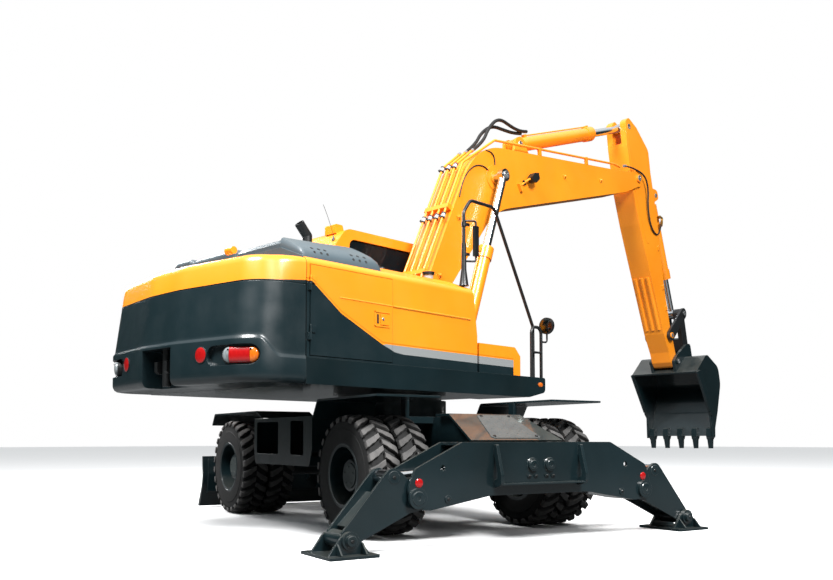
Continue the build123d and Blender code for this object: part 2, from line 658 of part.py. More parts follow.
# Upper frame: a deep beam under the right side, a floor beam under the cab, the middle deck and
# the two tall plates that carry the boom.
boom_plate_y = boom_half_width + 21
boom_plate_thickness = 30
boom_foot_half_width = boom_plate_y - running_gap
ram_eye_half = 36
ram_pin_end = boom_ram_y + ram_eye_half + running_gap + 25
with BuildPart() as upper_frame:
    right_beam = [
        (seam_x + seat_gap, deck_under_z, 0), (840, deck_under_z, 80), (deck_front_x, 1345, 50),
        (deck_front_x, skirt_top_z, 25), (seam_x + seat_gap, skirt_top_z, 0),
    ]
    left_beam = [
        (seam_x + seat_gap, deck_under_z, 0), (840, deck_under_z, 80), (deck_front_x, 1345, 30),
        (deck_front_x, cab_floor_z - seat_gap, 15), (seam_x + seat_gap, cab_floor_z - seat_gap, 0),
    ]
    plate(right_beam, -body_half_width, -inner_wall_y)
    plate(left_beam, cab_right_y, body_half_width)
    block((seam_x + seat_gap, -inner_wall_y, deck_under_z), (520, cab_right_y, deck_top_z))
    with BuildSketch(Plane.XY.offset(ring_top_z + seat_gap)) as ring_seat:
        Circle(ring_radius - 50)
    extrude(ring_seat.sketch, amount=deck_under_z - ring_top_z - seat_gap)
    boom_plate = [
        (-1000, deck_top_z - 20, 0), (-1000, 1520, 60), (-150, 2010, 120), (60, 2075, 120),
        (255, 1960, 110), (420, 1640, 120), (800, 1500, 80), (800, 1300, 60), (500, deck_under_z, 0),
        (-300, deck_under_z, 0),
    ]
    ram_ear = [
        (540, deck_under_z, 0), (555, 1470, 60), (725, 1470, 60), (715, 1330, 0), (670, deck_under_z, 0),
    ]
    for side in (-1, 1):
        for low, thickness, rows in (
            (boom_plate_y, boom_plate_thickness, boom_plate), (ram_pin_end - 25, 25, ram_ear),
        ):
            low_y, high_y = sorted((side * low, side * (low + thickness)))
            plate(rows, low_y, high_y)
        low_y, high_y = sorted((side * boom_plate_y, side * (boom_ram_y - ram_eye_half - running_gap)))
        cross_pin(boom_ram_base, 70, low_y, high_y)
        low_y, high_y = sorted((side * boom_plate_y, side * (ram_pin_end + 12)))
        cross_pin(boom_ram_base, pin_radius, low_y, high_y)
    block((420, -inner_wall_y, deck_under_z), (670, cab_right_y, deck_under_z + 15))
    cross_pin(boom_foot, pin_radius + 5, -boom_plate_y - 50, boom_plate_y + 50)
    block((pump_door_front_x - 25, -inner_wall_y, deck_top_z), (pump_door_front_x, cab_right_y, 2400))
    for y in lid_hinges:
        low = y + knuckle_height + seat_gap
        cross_pin(lid_pin, hinge_radius, low, low + knuckle_height)
        block((lid_pin[0] - 4, low, 2395), (lid_pin[0] + hinge_radius, low + knuckle_height, lid_pin[1]))
write(upper_frame, "upper_frame")

# Counterweight, rounded in plan, with the towing pocket, lamp pockets and two lifting eyes.
tail_plan = [
    (seam_x, -body_half_width, 0), (-2400, -body_half_width, 300), (-2700, -950, 400),
    (-tail_radius - 5, -300, 1500), (-tail_radius - 5, 300, 1500), (-2700, 950, 400),
    (-2400, body_half_width, 300), (seam_x, body_half_width, 0),
]
band_z = 2085
band_top_z = 2310
tail_top_z = 2345
lift_eye_y = 450
lift_eye_bore = 32
lamp_spots = [
    # side, middle x, middle y
    (-1, -2592, -1075),
    (1, -2592, 1075),
]
lamp_turn = 52


def behind_seam(edges):
    """The edges that don't lie on the joint with the body."""
    return edges.filter_by(lambda edge: edge.center().X < seam_x - 20)


with BuildPart() as counterweight:
    slab(tail_plan, deck_under_z + 5, band_top_z)
    fillet(behind_seam(counterweight.edges().group_by(Axis.Z)[0]), 60)
    chamfer(behind_seam(counterweight.edges().group_by(Axis.Z)[-1]), 120, 160)
    slab(
        [
            (seam_x, -980, 0), (-2420, -900, 100), (-2560, -300, 300), (-2560, 300, 300), (-2420, 900, 100),
            (seam_x, 980, 0),
        ],
        band_top_z - 5, tail_top_z,
    )
    fillet(behind_seam(counterweight.edges().group_by(Axis.Z)[-1]), 15)
    block((-tail_radius - 50, -215, deck_under_z - 20), (-2600, 215, 1640), mode=Mode.SUBTRACT)
    bar((-2690, 0, 1500), (-2690, 0, 1800), 40)
    for side, x, y in lamp_spots:
        pocket = Location((x, y, 1500), (0, 0, side * (180 - lamp_turn)))
        with Locations(pocket * Pos(90, 0, 0)):
            Box(220, 430, 175, mode=Mode.SUBTRACT)
    for y in (-lift_eye_y, lift_eye_y):
        eye = [(-2400, tail_top_z - 10, 0), (-2370, 2490, 40), (-2250, 2490, 40), (-2220, tail_top_z - 10, 0)]
        plate(eye, y - 20, y + 20)
        cross_pin((-2310, 2445), lift_eye_bore, y - 21, y + 21, mode=Mode.SUBTRACT)
write(counterweight, "counterweight")

with BuildPart() as rear_lamps:
    for side, x, y in lamp_spots:
        pocket = Location((x, y, 1500), (0, 0, side * (180 - lamp_turn)))
        with Locations(pocket * Pos(-20 + 25, 0, 0)):
            Box(50, 300, 120)
write(rear_lamps, "rear_lamps")

def hinge_half(pin, low, high, reach, face):
    """Half of a door hinge: a knuckle on the pin's line and a leaf that lies on a panel."""
    x, y = pin
    bar((x, y, low), (x, y, high), hinge_radius)
    block((min(x, x + reach), min(y, face), low), (max(x, x + reach), max(y, face), high))


hinge_out = 11
pump_hinge = (-2078, -body_half_width - hinge_out)
left_hinge = (-1988, body_half_width + hinge_out)
cab_hinge = (cab_door_x[0] - 4, cab_left_y + hinge_out)
body_hinges = (1640, 2040)
cab_hinges = (1560, 2200, 2800)
leaf = 50

# Body sides: the right one holds the tanks and the pump bay, the left one the radiators.
right_roof = [
    (-1235, skirt_top_z + seat_gap, 0), (-1235, shoulder_z - 10, 70), (-905, 2425, 60),
    (-inner_wall_y, 2430, 0), (-inner_wall_y, skirt_top_z + seat_gap, 0),
]
left_roof = [
    (1235, cab_floor_z, 0), (1235, shoulder_z - 10, 70), (905, 2425, 60), (cab_right_y + 10, roof_z, 0),
    (cab_right_y + 10, cab_floor_z, 0),
]
bay_rear_x = seam_x + panel_gap
pump_bay_x = (bay_rear_x + 30, pump_door_front_x)
pump_bay_z = (skirt_top_z + 12, 2255)
filler_xy = (-130, -700)
breather_xy = (-780, -700)
with BuildPart() as right_body:
    section(right_roof, bay_rear_x, tank_front_x)
    block(
        (pump_bay_x[0], -1300, pump_bay_z[0]), (pump_bay_x[1], -1190, pump_bay_z[1]), mode=Mode.SUBTRACT,
    )
    block(
        (pump_bay_x[0], -1200, pump_bay_z[0] + 18),
        (pump_bay_x[1] - 40, -inner_wall_y - 30, pump_bay_z[1] - 25),
        mode=Mode.SUBTRACT,
    )
    nose = [(-60, 2600, 0), (-60, 2310, 0), (20, 1700, 0), (60, 1700, 0), (60, 2600, 0)]
    plate(nose, -1300, -500, mode=Mode.SUBTRACT)
    for z in body_hinges:
        hinge_half(pump_hinge, z, z + knuckle_height, -leaf / 2, -1234)
    bar((*filler_xy, roof_z - 5), (*filler_xy, roof_z + 85), 46)
    bar((*filler_xy, roof_z + 84), (*filler_xy, roof_z + 118), 60)
    bar((*breather_xy, roof_z - 5), (*breather_xy, roof_z + 50), 26)
write(right_body, "right_body")

def door_leaf(bay_x, bay_z):
    """Outline of a flat door in its bay, with the panel gap all round."""
    low_x, high_x = bay_x[0] + panel_gap, bay_x[1] - panel_gap
    low_z, high_z = bay_z[0] + panel_gap, bay_z[1] - panel_gap
    return [(low_x, low_z, 0), (high_x, low_z, 0), (high_x, high_z, 0), (low_x, high_z, 0)]


with BuildPart() as pump_door:
    plate(door_leaf(pump_bay_x, pump_bay_z), -body_half_width, -body_half_width + door_thickness)
    for z in body_hinges:
        hinge_half(pump_hinge, z + knuckle_height + seat_gap, z + 2 * knuckle_height, leaf, -1239)
write(pump_door, "pump_door")

left_front_x = cab_rear_x - 40
cooler_bay_x = (-1990, -1150)
cooler_bay_z = (cab_floor_z + 50, 2255)
with BuildPart() as left_body:
    section(left_roof, bay_rear_x, left_front_x)
    block(
        (cooler_bay_x[0], 1190, cooler_bay_z[0]), (cooler_bay_x[1], 1300, cooler_bay_z[1]), mode=Mode.SUBTRACT,
    )
    block(
        (cooler_bay_x[0] + 30, 700, cooler_bay_z[0] + 20),
        (cooler_bay_x[1] - 30, 1200, cooler_bay_z[1] - 25),
        mode=Mode.SUBTRACT,
    )
    for z in body_hinges:
        hinge_half(left_hinge, z, z + knuckle_height, -leaf, 1234)
write(left_body, "left_body")

with BuildPart() as left_door:
    plate(door_leaf(cooler_bay_x, cooler_bay_z), body_half_width - door_thickness, body_half_width)
    for row in range(8):
        z = 1560 + row * 80
        block((-1880, 1225, z), (-1260, 1250, z + 35), mode=Mode.SUBTRACT)
    for z in body_hinges:
        hinge_half(left_hinge, z + knuckle_height + seat_gap, z + 2 * knuckle_height, leaf, 1239)
write(left_door, "left_door")

# Engine and the covers over it.
with BuildPart() as engine:
    block((-1960, -500, deck_top_z + seat_gap), (-1300, 380, 2250))
write(engine, "engine")

with BuildPart() as engine_hood:
    slab(
        [(-2090, -900, 110), (-1150, -900, 130), (-1150, -190, 40), (-2090, -190, 40)], hood_base_z, hood_z,
    )
    chamfer(engine_hood.edges().group_by(Axis.Z)[-1], 38)
    slab(
        [(-2090, 560, 40), (-1240, 560, 40), (-1240, 930, 110), (-2090, 930, 110)], left_hood_z, hood_z + 45,
    )
    fillet(engine_hood.edges().group_by(Axis.Z)[-1], 40)
write(engine_hood, "engine_hood")

with BuildPart() as hood_lid:
    slab([(-2080, -180, 60), (-1180, -180, 60), (-1180, 550, 60), (-2080, 550, 60)], 2436, hood_z + 25)
    fillet(hood_lid.edges().group_by(Axis.Z)[-1], 40)
    for y in (445, 520):
        bar((-2020, y, hood_base_z + 0.1), (-2020, y, 2440), 14)
    for y in lid_hinges:
        cross_pin(lid_pin, hinge_radius, y, y + knuckle_height)
        block((-1200, y, 2431), (lid_pin[0], y + knuckle_height, 2440))
write(hood_lid, "hood_lid")

exhaust_radius = 46
with BuildPart() as exhaust:
    elbow = (-1450, -400, 2730)
    tip = (-1545, -400, 2835)
    bar((*elbow[:2], hood_z + 0.5), elbow, exhaust_radius)
    with Locations(elbow):
        Sphere(exhaust_radius)
    bar(elbow, tip, exhaust_radius)
    inside = tuple(a + (b - a) * 0.3 for a, b in zip(elbow, tip))
    past = tuple(a + (b - a) * 1.1 for a, b in zip(elbow, tip))
    bar(inside, past, exhaust_radius - 6, mode=Mode.SUBTRACT)
write(exhaust, "exhaust")

# Tool box and step in front of the tank.
with BuildPart() as tool_box:
    plate(
        [
            (tank_front_x + 30, skirt_top_z + seat_gap, 0), (toolbox_front_x, skirt_top_z + seat_gap, 0),
            (toolbox_front_x, 1700, 20), (toolbox_front_x - 90, toolbox_top_z, 40),
            (tank_front_x + 30, toolbox_top_z, 0),
        ],
        -1235, -inner_wall_y,
    )
write(tool_box, "tool_box")

# Cab: a hollow shell with its windows cut, the glass, and the inside.
cab_side = [
    (cab_rear_x, cab_floor_z, 20), (cab_front_x, cab_floor_z, 60), (cab_front_x, 2200, 300),
    (960, cab_roof_z, 160), (-250, cab_roof_z, 160), (cab_rear_x, 2950, 160),
]
cab_inner = [
    (cab_rear_x + cab_wall, cab_floor_z + cab_wall, 20), (cab_front_x - cab_wall, cab_floor_z + cab_wall, 40),
    (cab_front_x - cab_wall, 2195, 260), (920, cab_roof_z - cab_wall, 110), (-230, cab_roof_z - cab_wall, 110),
    (cab_rear_x + cab_wall, 2930, 110),
]


def inset(rows, gap):
    """The same four-cornered outline, smaller by a gap all round."""
    middle_x = sum(row[0] for row in rows) / len(rows)
    middle_z = sum(row[1] for row in rows) / len(rows)
    return [
        (x + (gap if x < middle_x else -gap), z + (gap if z < middle_z else -gap), r) for x, z, r in rows
    ]


door_rows = [
    (cab_door_x[0], cab_door_z[0], 60), (cab_door_x[1], cab_door_z[0], 60),
    (cab_door_x[1], cab_door_z[1], 90), (cab_door_x[0], cab_door_z[1], 90),
]
door_window = [
    (cab_door_x[0] + 70, 2150, 60), (cab_door_x[1] - 70, 1950, 60),
    (cab_door_x[1] - 70, cab_door_z[1] - 70, 60), (cab_door_x[0] + 70, cab_door_z[1] - 70, 60),
]
right_window = [(-250, 2160, 80), (960, 2160, 80), (840, 3060, 80), (-200, 3060, 80)]
left_window = [(650, 1750, 60), (1080, 1750, 60), (860, 3040, 60), (650, 3040, 60)]
rear_window = [(520, 2250, 80), (1150, 2250, 80), (1150, 2900, 80), (520, 2900, 80)]
front_window = [(510, 1560, 60), (1160, 1560, 60), (1160, 3020, 60), (510, 3020, 60)]
with BuildPart() as cab_shell:
    plate(cab_side, cab_right_y, cab_left_y)
    plate(cab_inner, cab_right_y + cab_wall, cab_left_y - cab_wall, mode=Mode.SUBTRACT)
    plate(door_rows, cab_left_y - cab_wall - 5, cab_left_y + 5, mode=Mode.SUBTRACT)
    plate(left_window, cab_left_y - cab_wall - 5, cab_left_y + 5, mode=Mode.SUBTRACT)
    plate(right_window, cab_right_y - 5, cab_right_y + cab_wall + 5, mode=Mode.SUBTRACT)
    section(rear_window, cab_rear_x - 5, cab_rear_x + 100, mode=Mode.SUBTRACT)
    section(front_window, 860, cab_front_x + 10, mode=Mode.SUBTRACT)
    for z in cab_hinges:
        hinge_half(cab_hinge, z, z + knuckle_height, -leaf, cab_left_y - 1)
    plate([(-300, 3130, 0), (-300, 3235, 15), (-195, 3235, 15), (-160, 3130, 0)], 560, 740)
write(cab_shell, "cab_shell")

with BuildPart() as cab_windows:
    pane = [
        (cab_front_x - 30, 1562, 0), (cab_front_x - 22, 1562, 0), (cab_front_x - 22, 2240, 300),
        (980, 3018, 0), (971, 3018, 0), (cab_front_x - 30, 2238, 300),
    ]
    plate(pane, front_window[0][0], front_window[1][0])
    section(inset(front_window, glass_gap), 860, cab_front_x, mode=Mode.INTERSECT)
    plate(inset(left_window, glass_gap), cab_left_y - 30, cab_left_y - 30 + glass)
    plate(inset(right_window, glass_gap), cab_right_y + 22, cab_right_y + 22 + glass)
    section(inset(rear_window, glass_gap), cab_rear_x + 22, cab_rear_x + 22 + glass)
write(cab_windows, "cab_windows")

floor_z = cab_floor_z + cab_wall
with BuildPart() as cab_interior:
    block((150, 640, floor_z), (560, 1020, floor_z + 260))
    cushion = [(90, floor_z + 255, 30), (620, floor_z + 255, 60), (620, floor_z + 400, 60), (90, floor_z + 400, 30)]
    plate(cushion, 580, 1080)
    plate([(-60, 2330, 40), (60, 2360, 40), (210, floor_z + 300, 40), (70, floor_z + 300, 40)], 590, 1070)
    plate([(-110, 2560, 40), (-10, 2570, 40), (20, 2300, 10), (-80, 2300, 10)], 720, 940)
    for low, high in ((cab_right_y + cab_wall + 5, 575), (1085, cab_left_y - cab_wall - 8)):
        plate([(60, floor_z, 20), (640, floor_z, 20), (700, floor_z + 560, 60), (80, floor_z + 480, 60)], low, high)
    block((560, 640, floor_z), (800, 1000, floor_z + 30))
write(cab_interior, "cab_interior")

with BuildPart() as cab_door:
    plate(inset(door_rows, panel_gap), cab_left_y - cab_wall, cab_left_y)
    plate(door_window, cab_left_y - cab_wall - 5, cab_left_y + 5, mode=Mode.SUBTRACT)
    for z in cab_hinges:
        hinge_half(cab_hinge, z + knuckle_height + seat_gap, z + 2 * knuckle_height, leaf, cab_left_y)
write(cab_door, "cab_door")
with BuildPart() as cab_door_glass:
    plate(inset(door_window, glass_gap), cab_left_y - 30, cab_left_y - 30 + glass)
write(cab_door_glass, "cab_door_glass")


def tube(points, bend, radius):
    """Round tube along straight runs joined by bends of one radius."""
    with BuildLine() as path:
        FilletPolyline(*points, radius=bend)
    with BuildSketch(Plane(origin=path.line @ 0, z_dir=path.line % 0)) as ring:
        Circle(radius)
    sweep(ring.sketch, path=path.line)


# Handrails of the right side with their two mirrors.
rail_y = -1150
rail_radius = 17
with BuildPart() as handrails:
    tube(
        [
            (-100, rail_y, 2345), (-100, rail_y, 3080), (0, rail_y, 3215), (370, rail_y, 3215),
            (1025, rail_y, 2050), (1030, rail_y, skirt_top_z + 0.5),
        ],
        90, rail_radius,
    )
    tube(
        [
            (925, -1205, skirt_top_z + 0.5), (925, -1205, 2040), (1095, -1205, 2040),
            (1095, -1205, skirt_top_z + 0.5),
        ],
        70, rail_radius,
    )
    bar((925, -1205, 1770), (1095, -1205, 1770), 12)
    bar((1010, -1205, 1770), (1025, rail_y, 1770), 12)
    tube([(-100, rail_y, 2990), (-5, -1225, 2990), (-5, -1225, 2930)], 20, 10)
    tube([(-100, rail_y, 2590), (-5, -1225, 2590), (-5, -1225, 2650)], 20, 10)
    with Locations((-5, -1225, 2790)):
        Box(60, 30, 300)
    tube([(1095, -1205, 1890), (1190, -1215, 1890), (1190, -1215, 2000)], 30, 10)
    bar((1170, -1215, 2070), (1205, -1215, 2070), 90)
write(handrails, "handrails")

# Boom: a bent box with a fork at its nose.
nose_slot = 450
nose_inner = boom_half_width - nose_ear
boom_rows = [
    (-60, -110, 30), (0, -140, 0), (2115, 706, 900), (boom_length - 450, -64, 100), (boom_length - 30, -112, 60),
    (boom_length + 90, -40, 60), (boom_length + 60, 90, 60), (*boom_nose_top, 150), (*boom_crest, 900),
    (*boom_heel_top, 0),
]
with BuildPart() as boom:
    plate(boom_rows, -boom_half_width, boom_half_width)
    cross_pin((0, 0), 135, -boom_foot_half_width, boom_foot_half_width)
    cross_pin((boom_length, 0), 125, -boom_half_width, boom_half_width)
    slot = [
        (boom_length - nose_slot, -400, 0), (boom_length + 400, -400, 0), (boom_length + 400, 600, 0),
        (boom_length - nose_slot, 600, 0),
    ]
    plate(slot, -nose_inner, nose_inner, mode=Mode.SUBTRACT)
    cross_pin((boom_length, 0), tip_pin_radius, -boom_half_width - 25, boom_half_width + 25)
    foot_bore = pin_radius + 5 + shaft_clearance
    cross_pin((0, 0), foot_bore, -boom_foot_half_width - 1, boom_foot_half_width + 1, mode=Mode.SUBTRACT)
    cross_pin(boom_rod_pin, 80, -boom_half_width - 20, boom_half_width + 20)
    cross_pin(boom_rod_pin, 150, -boom_half_width - 8, boom_half_width + 8)
    arm_ram_ear = [
        (2880, 1100, 0), (3100, 1345, 60), (3225, 1345, 60), (3262, 1150, 0), (3275, 960, 0), (3000, 1000, 0),
    ]
    for side in (-1, 1):
        low_y, high_y = sorted((side * 71, side * 106))
        plate(arm_ram_ear, low_y, high_y)
    cross_pin(arm_ram_base, pin_radius, -106, 106)
write(boom, "boom", boom_frame)

# Pipes on the boom's back, held by clamp blocks. The outer one on the right runs on to the nose.
lower_pipe = [
    beside(boom_heel_top, boom_crest, 400, pipe_height), beside(boom_heel_top, boom_crest, 2330, pipe_height),
    beside(boom_crest, boom_nose_top, 100, -35),
]
nose_pipe = [
    beside(boom_crest, boom_nose_top, along, off)
    for along, off in ((375, 85), (3150, 85), (3300, 60))
]
lower_plate_angle = pin_line(boom_heel_top, boom_crest)[1]
upper_plate_angle = pin_line(boom_crest, boom_nose_top)[1]
with BuildPart() as boom_pipes:
    for y in boom_pipe_y[1:]:
        tube([(x, y, z) for x, z in lower_pipe], 90, pipe_radius)
    outer_run = [(x, boom_pipe_y[0], z) for x, z in lower_pipe[:2]]
    outer_run += [(x, nose_pipe_y, z) for x, z in nose_pipe]
    tube(outer_run, 70, pipe_radius)
    for along in (800, 1700):
        x, z = beside(boom_heel_top, boom_crest, along, (pipe_height + pipe_radius) / 2 + seat_gap)
        with Locations(Location((x, 0, z), (0, -lower_plate_angle, 0))):
            Box(60, 2 * boom_pipe_y[-1] + 60, pipe_height + pipe_radius)
    for along in (1300, 2400):
        x, z = beside(boom_crest, boom_nose_top, along, 50 + seat_gap)
        with Locations(Location((x, nose_pipe_y, z), (0, -upper_plate_angle, 0))):
            Box(50, 32, 100)
write(boom_pipes, "boom_pipes", boom_frame)


def ram_frame(base, rod_end):
    length, angle = pin_line(base, rod_end)
    return length, Location((base[0], 0, base[1]), (0, -angle, 0))


arm_eye_half = 62
bucket_eye_half = 50
barrel_start = 130
ram_pipe_radius = 10
# Rams of the digging equipment. Each barrel turns on its base pin and its rod slides in it.
rams = [
    # name, base pin, rod pin, sizes, middles across, half width of the eyes
    ("boom", boom_ram_base, on_boom(boom_rod_pin), boom_ram, (-boom_ram_y, boom_ram_y), ram_eye_half),
    ("arm", on_boom(arm_ram_base), on_arm(arm_rod_pin), arm_ram, (0,), arm_eye_half),
    ("bucket", on_arm(bucket_ram_base), on_arm(link_pin), bucket_ram, (0,), bucket_eye_half),
]
for ram_name, base, rod_end, sizes, middles, eye_half in rams:
    barrel_radius, barrel_length, rod_radius, rod_tail, bore_depth = sizes
    length, place = ram_frame(base, rod_end)
    with BuildPart() as barrel:
        for middle in middles:
            bar((barrel_start, middle, 0), (barrel_length, middle, 0), barrel_radius)
            cross_pin((0, 0), boss_radius - 15, middle - eye_half, middle + eye_half)
            bar((barrel_length - 150, middle, 0), (barrel_length, middle, 0), barrel_radius + 12)
            bar((0, middle, 0), (barrel_start + 5, middle, 0), eye_half)
            eye_bore = pin_radius + shaft_clearance
            cross_pin((0, 0), eye_bore, middle - eye_half - 1, middle + eye_half + 1, mode=Mode.SUBTRACT)
            bar(
                (barrel_length - bore_depth, middle, 0), (barrel_length + 1, middle, 0),
                rod_radius + shaft_clearance, mode=Mode.SUBTRACT,
            )
            pipe_z = barrel_radius + 16
            port_ends = (260, barrel_length - 75)
            bar((port_ends[0], middle, pipe_z), (port_ends[1], middle, pipe_z), ram_pipe_radius)
            for x in port_ends:
                block((x - 26, middle - 24, barrel_radius - 12), (x + 26, middle + 24, pipe_z + 14))
    write(barrel, f"{ram_name}_barrel", place)
    with BuildPart() as rod:
        for middle in middles:
            bar((barrel_length - rod_tail, middle, 0), (length - pin_radius, middle, 0), rod_radius)
            cross_pin((length, 0), boss_radius - 20, middle - eye_half, middle + eye_half)
            low, high = middle - eye_half - running_gap + seat_gap, middle + eye_half + running_gap - seat_gap
            if ram_name == "boom":
                inner, outer = boom_half_width + 20 + seat_gap, boom_ram_y + eye_half + 14
                low, high = sorted((copysign(inner, middle), copysign(outer, middle)))
            cross_pin((length, 0), pin_radius, low, high)
    write(rod, f"{ram_name}_rod", place)

# Arm: its upper end is forked for the ram, its lower end carries the bucket and the guide links.
arm_rows = [
    (-900, 150, 60), (-860, 40, 60), (-510, -50, 200), (150, -168, 200), (650, -185, 0), (2400, -148, 0),
    (2720, -100, 100), (2890, -100, 60), (3005, -60, 70), (2990, 90, 60), (2350, 100, 0), (1730, 170, 0),
    (640, 400, 300),
    (-20, 480, 300), (-340, 550, 150), (-720, 330, 60),
]
with BuildPart() as arm:
    plate(arm_rows, -arm_half_width, arm_half_width)
    block((-1000, -68, -300), (-560, 68, 700), mode=Mode.SUBTRACT)
    tip_bore = tip_pin_radius + shaft_clearance
    cross_pin((0, 0), tip_bore, -arm_half_width - 1, arm_half_width + 1, mode=Mode.SUBTRACT)
    for low, high in ((-105, -56), (56, 105)):
        plate([(150, 380, 0), (290, 690, 60), (425, 690, 60), (450, 500, 0), (480, 350, 0)], low, high)
    cross_pin(bucket_ram_base, pin_radius, -105, 105)
    cross_pin((arm_length, 0), pin_radius + 1, -arm_half_width - 1, arm_half_width + 1, mode=Mode.SUBTRACT)
    cross_pin(guide_pin, pin_radius, -arm_half_width - 60, arm_half_width + 60)
    for y in rib_y:
        bar((1480, y, -166), (2330, y, -147), rib_radius)
    cross_pin(arm_rod_pin, 75, -arm_half_width, -68)
    cross_pin(arm_rod_pin, 75, 68, arm_half_width)
write(arm, "arm", arm_frame)

# Guide links outside the arm, and the connecting link between them and the bucket.
guide_inner = arm_half_width + running_gap
guide_outer = guide_inner + 38
guide_length, guide_angle = pin_line(guide_pin, link_pin)
guide_place = arm_frame * Location((guide_pin[0], 0, guide_pin[1]), (0, -guide_angle, 0))
with BuildPart() as guide_links:
    for side in (-1, 1):
        low_y, high_y = sorted((side * guide_inner, side * guide_outer))
        with BuildSketch(Plane.XZ.offset(-low_y)) as link_side:
            with Locations((guide_length / 2, 0)):
                SlotCenterToCenter(guide_length, 170)
            with Locations((0, 0)):
                Circle(pin_radius + shaft_clearance, mode=Mode.SUBTRACT)
        extrude(link_side.sketch, amount=low_y - high_y)
        low_y, high_y = sorted((side * (bucket_eye_half + 8), side * (guide_outer + 12)))
        cross_pin((guide_length, 0), pin_radius, low_y, high_y)
write(guide_links, "guide_links", guide_place)

link_length, link_angle = pin_line(link_pin, bucket_link_pin)
link_place = arm_frame * Location((link_pin[0], 0, link_pin[1]), (0, -link_angle, 0))
with BuildPart() as connecting_link:
    with BuildSketch(Plane.XZ.offset(arm_half_width)) as link_side:
        with Locations((link_length / 2, 0)):
            SlotCenterToCenter(link_length, 160)
    extrude(link_side.sketch, amount=-2 * arm_half_width)
    block((-200, -56, -200), (160, 56, 200), mode=Mode.SUBTRACT)
    cross_pin((0, 0), pin_radius + 1, -arm_half_width - 1, arm_half_width + 1, mode=Mode.SUBTRACT)
    block((190, -95, -200), (400, 95, 200), mode=Mode.SUBTRACT)
    stub = guide_inner - seat_gap
    for side in (-1, 1):
        low_y, high_y = sorted((side * (arm_half_width - 5), side * stub))
        cross_pin((link_length, 0), pin_radius, low_y, high_y)
write(connecting_link, "connecting_link", link_place)

# Bucket: a curved shell with ears, a lip and five teeth.
bucket_outline = [
    # x, z, corner radius, going round from the mouth's top
    (6075, 1900, 0), (6420, 2200, 120), (6830, 2010, 180), (6905, 1740, 250), (6790, 1290, 0), (6650, 900, 0),
    (6600, 900, 0), (6525, 1230, 60),
]
bucket_hollow = [
    (6060, 1852, 0), (6425, 2168, 100), (6805, 1992, 160), (6878, 1740, 230), (6765, 1290, 0), (6615, 885, 0),
    (6590, 880, 0), (6400, 1200, 0), (6000, 1800, 0),
]
teeth = 5
adapter = [(6588, 1030, 20), (6672, 1040, 20), (6700, 900, 20), (6672, 845, 0), (6605, 845, 0), (6580, 900, 20)]
tooth_tip = [(6592, 870, 0), (6682, 870, 0), (6668, 700, 6), (6642, 700, 6)]
side_cutter = [
    (6470, 1290, 30), (6560, 1200, 40), (6575, 860, 20), (6650, 880, 30), (6655, 1190, 60), (6560, 1330, 30),
]
side_strip = [(6060, 1890, 0), (6470, 1290, 0), (6560, 1330, 0), (6190, 1940, 60)]
bucket_pin = on_arm((arm_length, 0))
bucket_eye = on_arm(bucket_link_pin)
ear_y = guide_inner
with BuildPart() as bucket:
    plate(bucket_outline, -bucket_half_width, bucket_half_width)
    plate(bucket_hollow, -bucket_half_width + 25, bucket_half_width - 25, mode=Mode.SUBTRACT)
    ear_rows = [
        (bucket_pin[0] - 20, 1900, 0), (bucket_pin[0] - 95, bucket_pin[1], 60),
        (bucket_pin[0] + 10, bucket_pin[1] + 100, 60), (bucket_eye[0] - 90, bucket_eye[1] + 60, 50),
        (bucket_eye[0] + 40, bucket_eye[1] + 85, 60), (6660, 2085, 0), (6430, 2175, 0),
    ]
    for side in (-1, 1):
        low_y, high_y = sorted((side * ear_y, side * (ear_y + 45)))
        plate(ear_rows, low_y, high_y)
    cross_pin(bucket_pin, pin_radius, -ear_y - 75, ear_y + 75)
    for side in (-1, 1):
        low_y, high_y = sorted((side * (bucket_half_width - 5), side * (bucket_half_width + 20)))
        plate(side_cutter, low_y, high_y)
        plate(side_strip, low_y, high_y)
    for tooth in range(teeth):
        y = (tooth / (teeth - 1) - 0.5) * 2 * (bucket_half_width - 60)
        plate(adapter, y - 45, y + 45)
        plate(tooth_tip, y - 34, y + 34)
write(bucket, "bucket")
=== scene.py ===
from math import atan2, cos, pi, radians, sin, tan

import bmesh
import bpy
from mathutils import Matrix, Vector


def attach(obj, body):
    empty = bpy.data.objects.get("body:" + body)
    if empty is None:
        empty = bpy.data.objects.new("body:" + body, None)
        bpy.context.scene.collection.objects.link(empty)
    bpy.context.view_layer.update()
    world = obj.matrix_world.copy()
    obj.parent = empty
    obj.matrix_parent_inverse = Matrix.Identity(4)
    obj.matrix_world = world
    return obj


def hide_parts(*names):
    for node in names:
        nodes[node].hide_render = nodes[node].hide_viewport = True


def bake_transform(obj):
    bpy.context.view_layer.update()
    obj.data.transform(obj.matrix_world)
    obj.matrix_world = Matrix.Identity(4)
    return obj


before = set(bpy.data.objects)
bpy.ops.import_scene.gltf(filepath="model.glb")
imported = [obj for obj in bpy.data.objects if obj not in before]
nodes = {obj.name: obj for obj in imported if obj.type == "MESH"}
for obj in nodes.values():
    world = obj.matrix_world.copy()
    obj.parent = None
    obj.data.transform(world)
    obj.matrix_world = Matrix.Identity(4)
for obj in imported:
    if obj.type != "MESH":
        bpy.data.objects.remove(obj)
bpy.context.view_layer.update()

# Frames of the machine's members, as in the part's source, in metres.
CARRIER = Matrix.Rotation(radians(-103.5), 4, "Z")
BOOM_ANGLE, ARM_ANGLE = radians(30), radians(-67.3)
BOOM = Matrix.Translation((0.1, 0, 1.94)) @ Matrix.Rotation(-BOOM_ANGLE, 4, "Y")
BOOM_LENGTH = 5.65
ARM = BOOM @ Matrix.Translation((BOOM_LENGTH, 0, 0)) @ Matrix.Rotation(BOOM_ANGLE - ARM_ANGLE, 4, "Y")
UPPER = Matrix.Identity(4)


